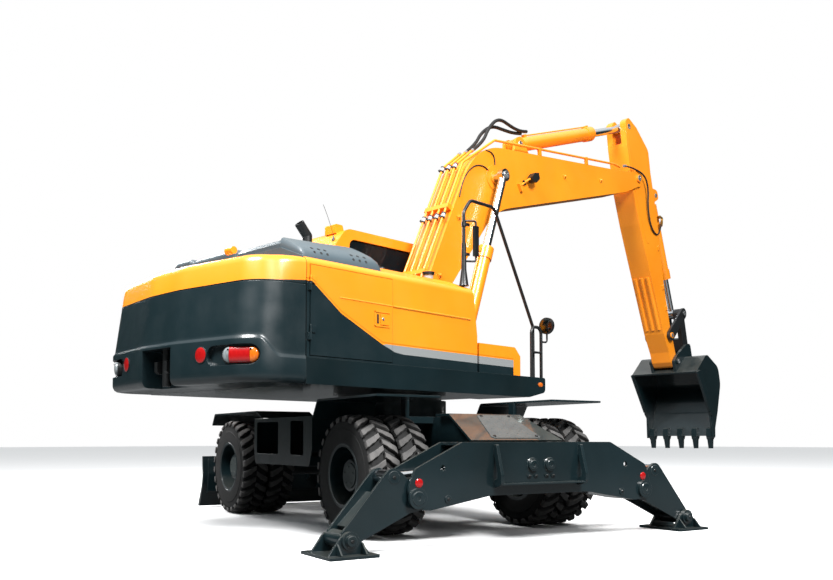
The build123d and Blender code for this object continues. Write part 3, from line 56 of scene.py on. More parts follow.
def colour(code):
    """Linear RGBA of an sRGB hex colour."""
    parts = [int(code[i:i + 2], 16) / 255 for i in (1, 3, 5)]
    return tuple(c / 12.92 if c <= 0.04045 else ((c + 0.055) / 1.055) ** 2.4 for c in parts) + (1.0,)


def node(tree, kind, inputs=None, **settings):
    """Adds a node with its inputs, each a socket to link or a value, and its other settings."""
    made = tree.nodes.new(kind)
    for key, value in settings.items():
        setattr(made, key, value)
    for key, value in (inputs or {}).items():
        if isinstance(value, bpy.types.NodeSocket):
            tree.links.new(value, made.inputs[key])
        else:
            made.inputs[key].default_value = value
    return made


def reckon(tree, operation, *values):
    """Result of a math node."""
    return node(tree, "ShaderNodeMath", dict(enumerate(values)), operation=operation).outputs[0]


def remap(tree, value, low, high, start=0.0, end=1.0):
    """A value taken from one range to another and kept inside it."""
    ends = {"Value": value, "From Min": low, "From Max": high, "To Min": start, "To Max": end}
    return node(tree, "ShaderNodeMapRange", ends, clamp=True).outputs["Result"]


def mix(tree, share, first, second):
    """Colour between two colours."""
    return node(tree, "ShaderNodeMix", {0: share, 6: first, 7: second}, data_type="RGBA").outputs[2]


def ramp(tree, value, stops):
    """Colour by a value, from rows of position and colour."""
    made = node(tree, "ShaderNodeValToRGB", {"Fac": value})
    elements = made.color_ramp.elements
    while len(elements) < len(stops):
        elements.new(0.5)
    for element, (position, tone) in zip(elements, stops):
        element.position = position
        element.color = tone
    return made.outputs["Color"]


def material(name, base, rough, metal=0.0, coat=0.0, spec=0.5):
    """A plain finish; returns the material, its tree and its shader node."""
    made = bpy.data.materials.new(name)
    made.use_nodes = True
    tree = made.node_tree
    shader = tree.nodes["Principled BSDF"]
    values = {
        "Base Color": colour(base), "Roughness": rough, "Metallic": metal, "Coat Weight": coat,
        "Coat Roughness": 0.08, "Specular IOR Level": spec,
    }
    for key, value in values.items():
        shader.inputs[key].default_value = value
    return made, tree, shader


def soften(tree, shader, radius_mm, relief=None):
    """Lets hard edges catch the light as if rounded."""
    edge = {"Radius": radius_mm / 1000}
    if relief is not None:
        edge["Normal"] = relief
    bevel = node(tree, "ShaderNodeBevel", edge, samples=4)
    tree.links.new(bevel.outputs["Normal"], shader.inputs["Normal"])


def pattern(tree, scale_per_m, detail=3.0, stretch=(1, 1, 1)):
    """Noise in object space; the scale is in cycles per metre."""
    place = node(tree, "ShaderNodeTexCoord").outputs["Object"]
    turned = node(tree, "ShaderNodeMapping", {"Vector": place, "Scale": stretch}).outputs["Vector"]
    noise = node(tree, "ShaderNodeTexNoise", {"Vector": turned, "Scale": scale_per_m, "Detail": detail})
    return noise.outputs["Fac"]


def blotch(tree, low, high, scale_per_m, detail=3.0):
    """Noise as a value between two limits."""
    return remap(tree, pattern(tree, scale_per_m, detail), 0.3, 0.7, low, high)


# Patterns of the paint in cycles per metre: tone over 700 mm of a panel, chips and painted highlight of 70 mm
# along an edge, patches of dust 170 mm and of gloss 200 mm wide, and orange peel of a millimetre.
PANEL_TONE, EDGE_CHIPS_AND_HIGHLIGHT, DUST_PATCHES, GLOSS_PATCHES, ORANGE_PEEL = 1.4, 14, 6, 5, 900
# Share of the lighter colour on the edges: partly chips of the paint, partly a painted highlight.
EDGE_WEAR_AND_HIGHLIGHT = 0.32
YARD_DUST = "#6E6A61"


def paint(name, base, shade, rough, coat, edge_mm=4, edge_wear_and_highlight="#8C9391", dust=0.0):
    """Sprayed paint: panel tone, orange peel, edges lighter by chips and a painted highlight, dust on what faces up."""
    made, tree, shader = material(name, base, rough, coat=coat)
    tone = ramp(tree, pattern(tree, PANEL_TONE), [(0.3, colour(shade)), (0.7, colour(base))])
    peel = node(tree, "ShaderNodeBump", {
        "Height": pattern(tree, ORANGE_PEEL, 1.0), "Strength": 0.02, "Distance": 0.001,
    }).outputs["Normal"]
    soften(tree, shader, edge_mm, peel)
    flat = node(tree, "ShaderNodeNewGeometry").outputs["Normal"]
    eased = node(tree, "ShaderNodeBevel", {"Radius": edge_mm * 0.7 / 1000}, samples=4).outputs["Normal"]
    turned = node(tree, "ShaderNodeVectorMath", {0: flat, 1: eased}, operation="DOT_PRODUCT").outputs["Value"]
    # Edges take the lighter colour in chips: partly real chips, partly a painted highlight.
    edge = remap(tree, turned, 0.99, 0.90, 0.0, EDGE_WEAR_AND_HIGHLIGHT)
    chips_and_highlight = reckon(tree, "MULTIPLY", edge, blotch(tree, 0.1, 1.0, EDGE_CHIPS_AND_HIGHLIGHT, 5.0))
    tone = mix(tree, chips_and_highlight, tone, colour(edge_wear_and_highlight))
    if dust:
        up = node(tree, "ShaderNodeSeparateXYZ", {"Vector": flat}).outputs["Z"]
        lying = remap(tree, up, 0.35, 0.95, 0.0, dust)
        dusty = reckon(tree, "MULTIPLY", lying, blotch(tree, 0.35, 1.0, DUST_PATCHES, 6.0))
        tone = mix(tree, dusty, tone, colour(YARD_DUST))
    tree.links.new(tone, shader.inputs["Base Color"])
    tree.links.new(blotch(tree, rough - 0.05, rough + 0.08, GLOSS_PATCHES), shader.inputs["Roughness"])
    return made, tree, shader


def grain(finish, tone, rough_low, rough_high, scale_per_m, bump=0.0, stretch=(1, 1, 1), share=0.35):
    """Gives a plain finish its variation: a second tone, uneven roughness and a fine relief.

    The scale is in cycles per metre, from 320 for a 3 mm speckle on cloth to 30 for a 33 mm cloud on a mirror:
    finer than that would not show in the picture.
    """
    made, tree, shader = finish
    base = shader.inputs["Base Color"].default_value[:]
    noise = pattern(tree, scale_per_m, 4.0, stretch)
    mixed = mix(tree, remap(tree, noise, 0.35, 0.65, 0.0, share), base, colour(tone))
    tree.links.new(mixed, shader.inputs["Base Color"])
    tree.links.new(remap(tree, noise, 0.3, 0.7, rough_low, rough_high), shader.inputs["Roughness"])
    if bump:
        relief = node(tree, "ShaderNodeBump", {"Height": noise, "Strength": bump, "Distance": 0.001})
        tree.links.new(relief.outputs["Normal"], shader.inputs["Normal"])
    return made


YELLOW, YELLOW_SHADE = "#F6941B", "#F08A16"
SLATE, SLATE_SHADE = "#122125", "#0D1A1D"


def yellow_enamel(name):
    """Orange-yellow machine enamel, the warm colour of the upper works, boom and arm."""
    # The light cream on its edges is a painted highlight as well as chips of the paint.
    return paint(name, YELLOW, YELLOW_SHADE, 0.33, 0.35, edge_wear_and_highlight="#FFC27A")


yellow = yellow_enamel("yellow_enamel")[0]
# Dark slate gloss enamel: the cold dark of counterweight, carrier, outriggers and bucket.
slate, _, slate_shader = paint("slate_gloss_enamel", SLATE, SLATE_SHADE, 0.34, 0.8, dust=0.30)
slate_shader.inputs["Specular IOR Level"].default_value = 0.25
# Grey-slate moulded plastic of the hood covers: more matt and lighter than the enamel.
cover = paint("grey_moulded_cover", "#47555C", "#3D4A51", 0.45, 0.2, dust=0.25)[0]
# Satin black powder coat of rails, mirrors and small parts: thin dark lines before the yellow.
black = paint("black_powder_coat", "#0E1011", "#0A0C0D", 0.42, 0.1, edge_mm=2)[0]
# Forged links with a dark oil-blackened skin, which reads browner than the slate.
forged = paint("oil_black_forging", "#1B1E20", "#131517", 0.45, 0.1)[0]
# Grey paint of the hub covers, flatter than the rims.
hub_grey = paint("grey_hub_paint", "#3B4343", "#313838", 0.55, 0.1)[0]
# Worn grey paint of the rear deck, with light bare edges that are also a painted highlight, and settled dust.
deck_grey = paint("worn_deck_paint", "#3B4042", "#2F3436", 0.6, 0.05, edge_mm=2, edge_wear_and_highlight="#A0A29C", dust=0.3)[0]
# Hard chrome of the ram rods, the brightest lines of the picture.
chrome = grain(material("hard_chrome", "#D9DDE0", 0.12, metal=1.0), "#BCC1C5", 0.10, 0.20, 90, 0.02, (1, 1, 3))
# Zinc-plated steel of pin ends, bolts and clamps: small bright spots with an uneven gloss.
zinc = grain(material("zinc_plated_steel", "#B9BCBD", 0.32, metal=0.9), "#8E9394", 0.24, 0.45, 60, 0.05)
# Brass fittings of the hoses, a dull gold.
brass = grain(material("brass_fitting", "#B98A3A", 0.35, metal=0.9), "#7E5C24", 0.28, 0.5, 70, 0.05)
# Hose rubber: dull black with a fine grain.
hose = grain(material("hose_rubber", "#101010", 0.6), "#262422", 0.5, 0.75, 260, 0.25)
# Tinted cab glass: dark, with the sky in it.
glass, _, glass_shader = material("tinted_glass", "#2A3236", 0.03, spec=0.6)
glass_shader.inputs["Transmission Weight"].default_value = 0.75
glass_shader.inputs["IOR"].default_value = 1.15
# Brown-grey cloth and plastic inside the cab, a warm dark behind the glass.
trim = grain(material("brown_seat_cloth", "#5B4636", 0.8), "#3B2D23", 0.7, 0.95, 320, 0.4)
# Ribbed lenses of the rear lamps and markers: deep red, clear and amber.
LENS_RIBS = (1, 1, 0.2)
red = grain(material("red_lens", "#9C1012", 0.15, coat=0.6), "#C01A18", 0.10, 0.22, 120, 0.12, LENS_RIBS)
clear = grain(material("clear_lens", "#8F9698", 0.1, coat=0.8), "#4E5658", 0.06, 0.2, 60, 0.15, LENS_RIBS, 0.8)
amber = grain(material("amber_lens", "#C65A0E", 0.12, coat=0.6), "#E88A28", 0.08, 0.2, 120, 0.12, LENS_RIBS)
# Dull cast iron of the engine block, rough and faintly brown.
iron = grain(material("dull_cast_iron", "#2C2D2D", 0.65), "#47423C", 0.5, 0.8, 40, 0.4)
# White plastic of the filler's neck and the pipes' unions.
white = grain(material("white_plastic", "#9EA1A2", 0.4), "#7C8080", 0.3, 0.5, 50, 0.05)
# Silvered mirror, slightly clouded.
mirror = grain(material("mirror_silvering", "#6E7674", 0.1, metal=1.0), "#5A625F", 0.08, 0.2, 30)

# Tyre rubber: dark; its lug tops lighter with dry yard dust and a painted highlight.
rubber, rubber_tree, rubber_shader = material("tyre_rubber_dust_and_highlight", "#2B2A29", 0.78)
dust = pattern(rubber_tree, 9, 6.0)
clean, lug_tops_dust_and_highlight = (
    ramp(rubber_tree, dust, [(position, colour(code)) for position, code in zip((0.25, 0.6, 0.8), codes)])
    for codes in (("#121212", "#191919", "#232222"), ("#3F3F3E", "#5A5857", "#6E6C69"))
)
# Lug tops painted lighter: yard dust and a painted highlight.
worn = node(rubber_tree, "ShaderNodeAttribute", attribute_name="worn").outputs["Fac"]
rubber_tree.links.new(mix(rubber_tree, worn, clean, lug_tops_dust_and_highlight), rubber_shader.inputs["Base Color"])
soften(rubber_tree, rubber_shader, 6)


def line_of(tree, along, rows):
    """A height that depends on x, from rows of x and z in metres."""
    low, high = rows[0][0], rows[-1][0]
    floor_z = min(z for _, z in rows)
    spread = max(max(z for _, z in rows) - floor_z, 0.001)
    stops = []
    for x, z in rows:
        share = (z - floor_z) / spread
        stops.append(((x - low) / (high - low), (share, share, share, 1)))
    line = ramp(tree, remap(tree, along, low, high), stops)
    return reckon(tree, "MULTIPLY_ADD", line, spread, floor_z)


def livery(name, bands):
    """Yellow enamel with painted bands: rows of hex colour, upper line and lower line."""
    made, tree, shader = yellow_enamel(name)
    place = node(tree, "ShaderNodeTexCoord").outputs["Object"]
    split = node(tree, "ShaderNodeSeparateXYZ", {"Vector": place})
    x, z = split.outputs["X"], split.outputs["Z"]
    result = shader.inputs["Base Color"].links[0].from_socket
    for code, upper, lower in bands:
        band = 1.0
        for operation, value, limit in (
            ("LESS_THAN", z, line_of(tree, x, upper)), ("GREATER_THAN", z, line_of(tree, x, lower)),
            ("LESS_THAN", x, upper[-1][0]), ("GREATER_THAN", x, upper[0][0]),
        ):
            band = reckon(tree, "MULTIPLY", band, reckon(tree, operation, value, limit))
        result = mix(tree, band, result, colour(code))
    tree.links.new(result, shader.inputs["Base Color"])
    return made


# Livery lines on the side, x and z: edge of the slate, lower edge of the stripe, bottom of the panels.
SLATE_EDGE = [(-2.13, 2.118), (-2.065, 2.112), (-2.02, 2.086), (-1.75, 1.886), (-1.276, 1.664)]
STRIPE_EDGE = [(-1.276, 1.664), (-1.24, 1.672), (0.574, 1.655)]
STRIPE_LOW = [(-1.276, 1.664), (-1.125, 1.610), (-1.02, 1.597), (0.574, 1.579)]
SWEEP = SLATE_EDGE + STRIPE_LOW[1:]
PANEL_LOW = [(-2.13, 1.0), (0.574, 1.0)]
# Painted shade of a pressed groove over the sweep and the stripe: a darker line 10 mm wide.
GROOVE_SHADE_RUN = SLATE_EDGE + [(-1.24, 1.664), (0.574, 1.647)]
GROOVE_SHADE_TOP, GROOVE_SHADE_LOW = ([(x, z + lift) for x, z in GROOVE_SHADE_RUN] for lift in (0.026, 0.016))
# Side panels: yellow above, a slate sweep behind, and a light grey stripe that runs on to the front.
side_paint = livery("side_panel_enamel", [
    # The first band is the painted shade of the groove.
    ("#D9700F", GROOVE_SHADE_TOP, GROOVE_SHADE_LOW), ("#8B8E8E", STRIPE_EDGE, STRIPE_LOW), (SLATE, SWEEP, PANEL_LOW),
])
# Counterweight: slate with the yellow band round its top.
tail_paint = livery("counterweight_enamel", [(SLATE, [(-3.0, 2.085), (-2.35, 2.095), (-2.116, 2.118)], PANEL_LOW)])

# Finish of each node of the frame.
looks = [
    (yellow, [
        "left_body", "left_door", "cab_shell", "cab_door", "boom", "boom_pipes", "arm", "boom_barrel", "arm_barrel",
        "bucket_barrel",
    ]),
    (side_paint, ["right_body", "pump_door", "tool_box"]),
    (tail_paint, ["counterweight"]),
    (slate, [
        "upper_frame", "carrier_frame", "step_boxes", "fenders", "front_axle", "rear_axle", "outrigger_beam",
        "rear_deck", "blade", "blade_barrels", "bucket",
        "rims_front_left", "rims_front_right", "rims_rear_left", "rims_rear_right",
        "outrigger_leg_left", "outrigger_leg_right", "outrigger_pad_left", "outrigger_pad_right",
        "outrigger_barrel_left", "outrigger_barrel_right",
    ]),
    (cover, ["engine_hood", "hood_lid"]),
    (black, ["handrails", "exhaust"]),
    (forged, ["guide_links", "connecting_link", "knuckle_left", "knuckle_right"]),
    (chrome, ["boom_rod", "arm_rod", "bucket_rod", "blade_rods", "outrigger_rod_left", "outrigger_rod_right"]),
    (rubber, ["tyres_front_left", "tyres_front_right", "tyres_rear_left", "tyres_rear_right"]),
    (glass, ["cab_windows", "cab_door_glass"]),
    (trim, ["cab_interior"]),
    (red, ["rear_lamps"]),
    (iron, ["engine"]),
]
for finish, names in looks:
    for name in names:
        for place in nodes[name].material_slots:
            place.material = finish


def shade(piece, sharpest):
    """Smooth shading, with edges over an angle in degrees kept sharp."""
    piece.data.set_sharp_from_angle(angle=radians(sharpest))
    piece.data.polygons.foreach_set("use_smooth", [True] * len(piece.data.polygons))


def put(name, data):
    """An object in the scene."""
    made = bpy.data.objects.new(name, data)
    bpy.context.scene.collection.objects.link(made)
    return made


def settle(name, mesh):
    """Turns a gathered mesh into an object in the scene."""
    data = bpy.data.meshes.new(name)
    mesh.to_mesh(data)
    mesh.free()
    return put(name, data)


def skin(mesh, rings):
    """Faces between rings of points, each ring closed and with the same number of points."""
    count = len(rings[0])
    for low, high in zip(rings, rings[1:]):
        for i in range(count):
            j = (i + 1) % count
            mesh.faces.new((low[i], low[j], high[j], high[i]))


def circle(sides):
    """Angles all the way round, in equal steps."""
    return [2 * pi * k / sides for k in range(sides)]


class Kit:
    """Pieces of one finish that ride on one body, gathered in one mesh in the frame of a member."""

    def __init__(self, name, body, finish, slot, place=UPPER):
        self.name, self.body, self.finish, self.slot, self.place = name, body, finish, slot, place
        self.mesh = bmesh.new()

    def loft(self, rings):
        """Skin over rings of points, with flat ends."""
        rows = [[self.mesh.verts.new(p) for p in ring] for ring in rings]
        skin(self.mesh, rows)
        self.mesh.faces.new(list(reversed(rows[0])))
        self.mesh.faces.new(rows[-1])

    def lathe(self, start, axis, profile, sides=28):
        """Turned piece: rows of distance along the axis and radius."""
        axis = Vector(axis).normalized()
        side = axis.orthogonal().normalized()
        up = axis.cross(side)
        rings = []
        for along, radius in profile:
            middle = Vector(start) + axis * along
            rings.append([middle + (side * cos(t) + up * sin(t)) * max(radius, 1e-4) for t in circle(sides)])
        self.loft(rings)

    def rod(self, start, end, radius, sides=16):
        """Plain round bar between two points."""
        reach = Vector(end) - Vector(start)
        self.lathe(start, reach, [(0, radius), (reach.length, radius)], sides)

    def bolt(self, middle, axis, across=0.024, height=0.012):
        """Hexagon head on a washer."""
        washer, corner, crest = across * 0.75, across * 0.577, across * 0.45
        self.lathe(middle, axis, [(0, washer), (0.003, washer)], 16)
        self.lathe(middle, axis, [(0.003, corner), (height, corner), (height + 0.002, crest)], 6)

    def box(self, middle, size, turn=None, bevel=0.004):
        """Block with small chamfers on its long edges."""
        x, y, z = (v / 2 for v in size)
        b = min(bevel, x * 0.9, y * 0.9)
        plan = [
            (x, y - b), (x - b, y), (b - x, y), (-x, y - b), (-x, b - y), (b - x, -y), (x - b, -y), (x, b - y),
        ]
        place = Matrix.Translation(middle) @ (turn or Matrix.Identity(4))
        self.loft([[place @ Vector((px, py, h)) for px, py in plan] for h in (-z, z)])

    def prism(self, rows, low, high, plane="XZ"):
        """Flat outline in the XZ or the YZ plane, between two distances along the third axis."""
        def place(row, d):
            return Vector((row[0], d, row[1]) if plane == "XZ" else (d, row[0], row[1]))
        self.loft([[place(row, d) for row in rows] for d in (low, high)])

    def line(self, points, radius, sides=10, smooth=True):
        """Round line through given points, as one smooth curve or as straight runs."""
        data = bpy.data.curves.new("line", "CURVE")
        data.dimensions = "3D"
        run = data.splines.new("NURBS" if smooth else "POLY")
        run.points.add(len(points) - 1)
        for point, place in zip(run.points, points):
            point.co = (*place, 1)
        if smooth:
            run.order_u = 3
            run.use_endpoint_u = True
            data.resolution_u = 10
        data.bevel_depth = radius
        data.bevel_resolution = max(1, sides // 4)
        data.use_fill_caps = True
        holder = bpy.data.objects.new("line", data)
        made = bpy.data.meshes.new_from_object(holder)
        self.mesh.from_mesh(made)
        bpy.data.objects.remove(holder)
        bpy.data.curves.remove(data)
        bpy.data.meshes.remove(made)

    def shape(self):
        """The gathered mesh as an object that rides on nothing yet."""
        bmesh.ops.remove_doubles(self.mesh, verts=self.mesh.verts, dist=1e-6)
        bmesh.ops.recalc_face_normals(self.mesh, faces=self.mesh.faces)
        self.mesh.transform(self.place)
        made = settle(self.name, self.mesh)
        made.data.materials.append(self.finish)
        return made

    def done(self, smooth=True):
        """Shades the piece and puts it on its body."""
        made = self.shape()
        if smooth:
            shade(made, 32)
        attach(made, self.body)
        return made


def surface(name, start, toward):
    """Point where a line from start meets a node, and the direction that the node faces there."""
    hit, place, normal, _ = nodes[name].ray_cast(Vector(start), Vector(toward).normalized())
    return (place, normal) if hit else (Vector(start), -Vector(toward).normalized())


# Pin ends: a bright dished disc with a bolt beside its middle.
BOOM_PIN_ENDS = [
    # name, body, frame, x, z, distance across to the face, disc radius
    ("boom_ram_pin", "boom_rod", BOOM, 2.295, 1.054, 0.388, 0.045),
    ("arm_foot_pin", "boom", BOOM, 5.650, 0.0, 0.225, 0.046),
    ("arm_ram_foot_pin", "boom", BOOM, 3.162, 1.255, 0.106, 0.040),
    ("arm_ram_eye_pin", "arm", ARM, -0.769, 0.113, 0.165, 0.044),
    ("bucket_ram_foot_pin", "arm", ARM, 0.360, 0.620, 0.105, 0.036),
    ("guide_link_pin", "arm", ARM, 2.480, 0.010, 0.225, 0.034),
    ("rod_eye_pin", "guide_links", ARM, 2.280, 0.550, 0.221, 0.034),
    ("bucket_pin", "bucket", ARM, 2.910, 0.0, 0.246, 0.036),
]
for name, body, member, x, z, reach, radius in BOOM_PIN_ENDS:
    kit = Kit(f"{name}_ends", body, zinc, "rod_chrome", member)
    for side in (-1, 1):
        kit.lathe((x, side * (reach - 0.004), z), (0, side, 0), [
            (0, radius), (0.006, radius), (0.009, radius - 0.004), (0.009, 0.008), (0.005, 0.001),
        ])
        kit.bolt((x + radius * 0.55, side * (reach + 0.004), z), (0, side, 0), 0.014, 0.007)
    kit.done()

# Unions of the four pipes on the boom's back: a white nut between two black rings.
PIPES_Y = (-0.153, -0.051, 0.051, 0.153)
PIPES_START, PIPES_LIFT = Vector((-0.02, 0, 0.02)), 0.062
kit = Kit("pipe_union_nuts", "boom", white, "rod_chrome", BOOM)
strap = Kit("pipe_union_rings", "boom", black, "black_paint", BOOM)
tilt = Matrix.Rotation(-atan2(1.496, 2.189), 4, "Y")
ahead = tilt @ Vector((1, 0, 0))
for along, pipes in ((1.54, PIPES_Y), (2.28, PIPES_Y[1:])):
    for y in pipes:
        base = PIPES_START + Vector((0, y, 0)) + tilt @ Vector((along, 0, PIPES_LIFT))
        kit.rod(base, base + ahead * 0.046, 0.026, 6)
        for offset in (-0.012, 0.046):
            strap.rod(base + ahead * offset, base + ahead * (offset + 0.012), 0.028, 14)
        strap.box(base + ahead * 0.023 + Vector((0, 0.045, 0)), (0.020, 0.030, 0.018), tilt)
kit.done()
strap.done()

# Unions where the hoses leave the pipes, and small bolted lugs on the boom's side.
kit = Kit("pipe_unions", "boom", zinc, "rod_chrome", BOOM)
for y in PIPES_Y[1:]:
    kit.rod((2.225, y, 1.4405), (2.262, y, 1.446), 0.024, 6)
kit.rod((5.36, -0.187, 0.285), (5.42, -0.190, 0.262), 0.022, 6)
kit.done()
lugs = Kit("boom_side_lugs", "boom", yellow, "body_yellow", BOOM)
for x, z in ((1.42, 0.86), (0.78, 0.40), (3.75, 0.62), (4.60, 0.30)):
    lugs.box((x, -0.206, z), (0.05, 0.016, 0.05))
    lugs.lathe((x, -0.212, z), (0, -1, 0), [(0, 0.016), (0.020, 0.016), (0.024, 0.012)], 16)
lugs.done()

# Hoses from the pipes over to the arm's ram, and the thin lines to the boom's rams.
for name, points in (
    ("arm_ram_hose_upper", [
        (2.26, -0.051, 1.446), (2.50, -0.050, 1.475), (2.70, -0.045, 1.60), (2.98, -0.035, 1.66), (3.22, -0.02, 1.47),
        (3.40, -0.01, 1.372), (3.52, 0.0, 1.345),
    ]),
    ("arm_ram_hose_lower", [
        (2.26, 0.051, 1.446), (2.48, 0.055, 1.48), (2.66, 0.06, 1.57), (2.92, 0.06, 1.60), (3.15, 0.05, 1.47),
        (3.28, 0.03, 1.395), (3.40, 0.01, 1.352),
    ]),
):
    kit = Kit(name, "boom", hose, "tyre_rubber", BOOM)
    kit.line(points, 0.021, 12)
    kit.done()
thin = Kit("boom_ram_hoses", "boom", hose, "tyre_rubber", BOOM)
for points in (
    [(1.55, -0.208, 1.06), (1.70, -0.209, 1.22), (1.98, -0.209, 1.31), (2.18, -0.209, 1.24), (2.215, -0.209, 1.17)],
    [(2.30, -0.200, 1.395), (2.38, -0.208, 1.36), (2.42, -0.209, 1.27), (2.37, -0.209, 1.19)],
):
    thin.line(points, 0.007)
thin.done()

# Work lamp on its bracket on the boom's right side.
kit = Kit("boom_lamp_bracket", "boom", yellow, "body_yellow", BOOM)
kit.box((2.72, -0.222, 0.80), (0.05, 0.044, 0.10))
kit.line([(2.72, -0.24, 0.82), (2.82, -0.255, 0.835), (2.92, -0.262, 0.84)], 0.014, smooth=False)
kit.done()
kit = Kit("boom_lamp_head", "boom", black, "black_paint", BOOM)
kit.prism([(2.90, 0.79), (2.96, 0.765), (3.04, 0.785), (3.06, 0.86), (2.98, 0.885), (2.90, 0.86)], -0.31, -0.23)
kit.rod((2.78, -0.245, 0.80), (2.78, -0.245, 0.86), 0.016)
kit.done()

# Hose loop from the boom's nose to the arm, with its brass elbow.
ARM_FROM_BOOM = BOOM.inverted() @ ARM
loop = [Vector((5.42, -0.190, 0.262)), Vector((5.56, -0.20, 0.20))]
loop += [ARM_FROM_BOOM @ Vector(p) for p in (
    (-0.02, -0.235, 0.16), (0.20, -0.225, 0.20), (0.45, -0.205, 0.10), (0.76, -0.190, 0.09), (0.95, -0.175, 0.26),
    (0.86, -0.150, 0.47), (0.79, -0.135, 0.56),
)]
kit = Kit("arm_hose_loop", "boom", hose, "tyre_rubber", BOOM)
kit.line(loop, 0.0125, 12)
piece = kit.shape()
shade(piece, 32)
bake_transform(piece)
kit = Kit("arm_elbow", "arm", brass, "rod_chrome", ARM)
kit.line([(0.79, -0.135, 0.56), (0.745, -0.130, 0.62), (0.70, -0.130, 0.60), (0.69, -0.130, 0.52)], 0.018, 12)
kit.rod((0.83, -0.137, 0.53), (0.775, -0.134, 0.575), 0.024, 6)
kit.rod((0.69, -0.130, 0.56), (0.69, -0.130, 0.50), 0.026, 6)
kit.done()

# Doubler plates on the arm's upper half, and small guards down its edge.
DOUBLER = [
    (-0.84, 0.06), (-0.83, 0.20), (-0.70, 0.29), (-0.36, 0.48), (-0.04, 0.42), (0.36, 0.30), (0.70, 0.16), (0.94, 0.04),
    (0.985, -0.02), (0.97, -0.07), (0.90, -0.10), (0.40, -0.10), (0.10, -0.10), (-0.45, -0.02),
]
kit = Kit("arm_doublers", "arm", yellow, "body_yellow", ARM)
for side in (-1, 1):
    low, high = sorted((side * 0.1645, side * 0.1685))
    kit.prism(DOUBLER, low, high)
for x, z in ((1.12, 0.225), (1.72, 0.115), (2.05, 0.085)):
    kit.box((x, -0.155, z), (0.07, 0.05, 0.06))
kit.done()


def rounded(rows, step):
    """Points about a step apart of an open line with rounded corners, from rows of x, y and corner radius."""
    points = []
    for i, (x, y, radius) in enumerate(rows):
        if radius == 0 or i in (0, len(rows) - 1):
            points.append((x, y))
            continue
        (ax, ay, _), (bx, by, _) = rows[i - 1], rows[i + 1]
        back, ahead = atan2(ay - y, ax - x), atan2(by - y, bx - x)
        half = ((ahead - back + pi) % (2 * pi) - pi) / 2
        reach, out = radius / abs(tan(half)), radius / abs(sin(half))
        cx, cy = x + cos(back + half) * out, y + sin(back + half) * out
        first = atan2(y + reach * sin(back) - cy, x + reach * cos(back) - cx)
        last = atan2(y + reach * sin(ahead) - cy, x + reach * cos(ahead) - cx)
        turn = (last - first + pi) % (2 * pi) - pi
        steps = max(2, round(abs(turn) * radius / step))
        points += [
            (cx + radius * cos(first + turn * k / steps), cy + radius * sin(first + turn * k / steps))
            for k in range(steps + 1)
        ]
    return points


def ease(value, low, high):
    """Smooth step from 0 at low to 1 at high."""
    t = min(1, max(0, (value - low) / (high - low)))
    return t * t * (3 - 2 * t)


# Counterweight casting: plan, ledge over the lamps, and walls that lean in above the ledge.
TAIL_PLAN = [
    # x, y, corner radius
    (-2.116, -1.24, 0), (-2.60, -1.24, 0.33), (-2.745, -0.25, 1.2), (-2.745, 0.25, 1.2), (-2.60, 1.24, 0.33),
    (-2.116, 1.24, 0),
]
LEDGE_Z, LEDGE_LOW_Z, LEDGE_DEPTH = 1.640, 1.500, 0.018
LEAN, BAND_Z = 0.13, 2.085
# Distances from the side seams over which the ledge drops and the lean grows.
LEDGE_DROP, LEAN_GROWS = (0.25, 0.42), (0.05, 0.55)
# Rounded foot of the wall: height and distance in from the wall.
TAIL_FOOT = [(1.285, 0.060), (1.289, 0.036), (1.302, 0.016), (1.325, 0.004), (1.345, 0.0), (1.38, 0.0)]
# Shoulder under the top, height and distance in from the wall: at the seam and round the back.
SEAM_SHOULDER = [(2.255, 0.004), (2.280, 0.010), (2.299, 0.026), (2.310, 0.055), (2.322, 0.110)]
TAIL_SHOULDER = [(2.235, 0.022), (2.262, 0.030), (2.284, 0.044), (2.300, 0.070), (2.312, 0.150)]
LAMP_SPOT, LAMP_TURN, LAMP_Z = (-2.583, 1.018), radians(152), 1.5
POCKETS = [
    # name, spot, turn, length, depth
    ("lamp_pocket", LAMP_SPOT, LAMP_TURN, 0.346, -0.048), ("lamp_shelf", (-2.655, 0.835), radians(172), 0.30, -0.036),
]
POCKET_HEIGHT = 0.160


def split_runs(rows, longest):
    """Puts more points on the straight runs of a line."""
    points = [rows[0]]
    for (ax, ay), (bx, by) in zip(rows, rows[1:]):
        steps = max(1, round(((bx - ax) ** 2 + (by - ay) ** 2) ** 0.5 / longest))
        points += [(ax + (bx - ax) * k / steps, ay + (by - ay) * k / steps) for k in range(1, steps + 1)]
    return points


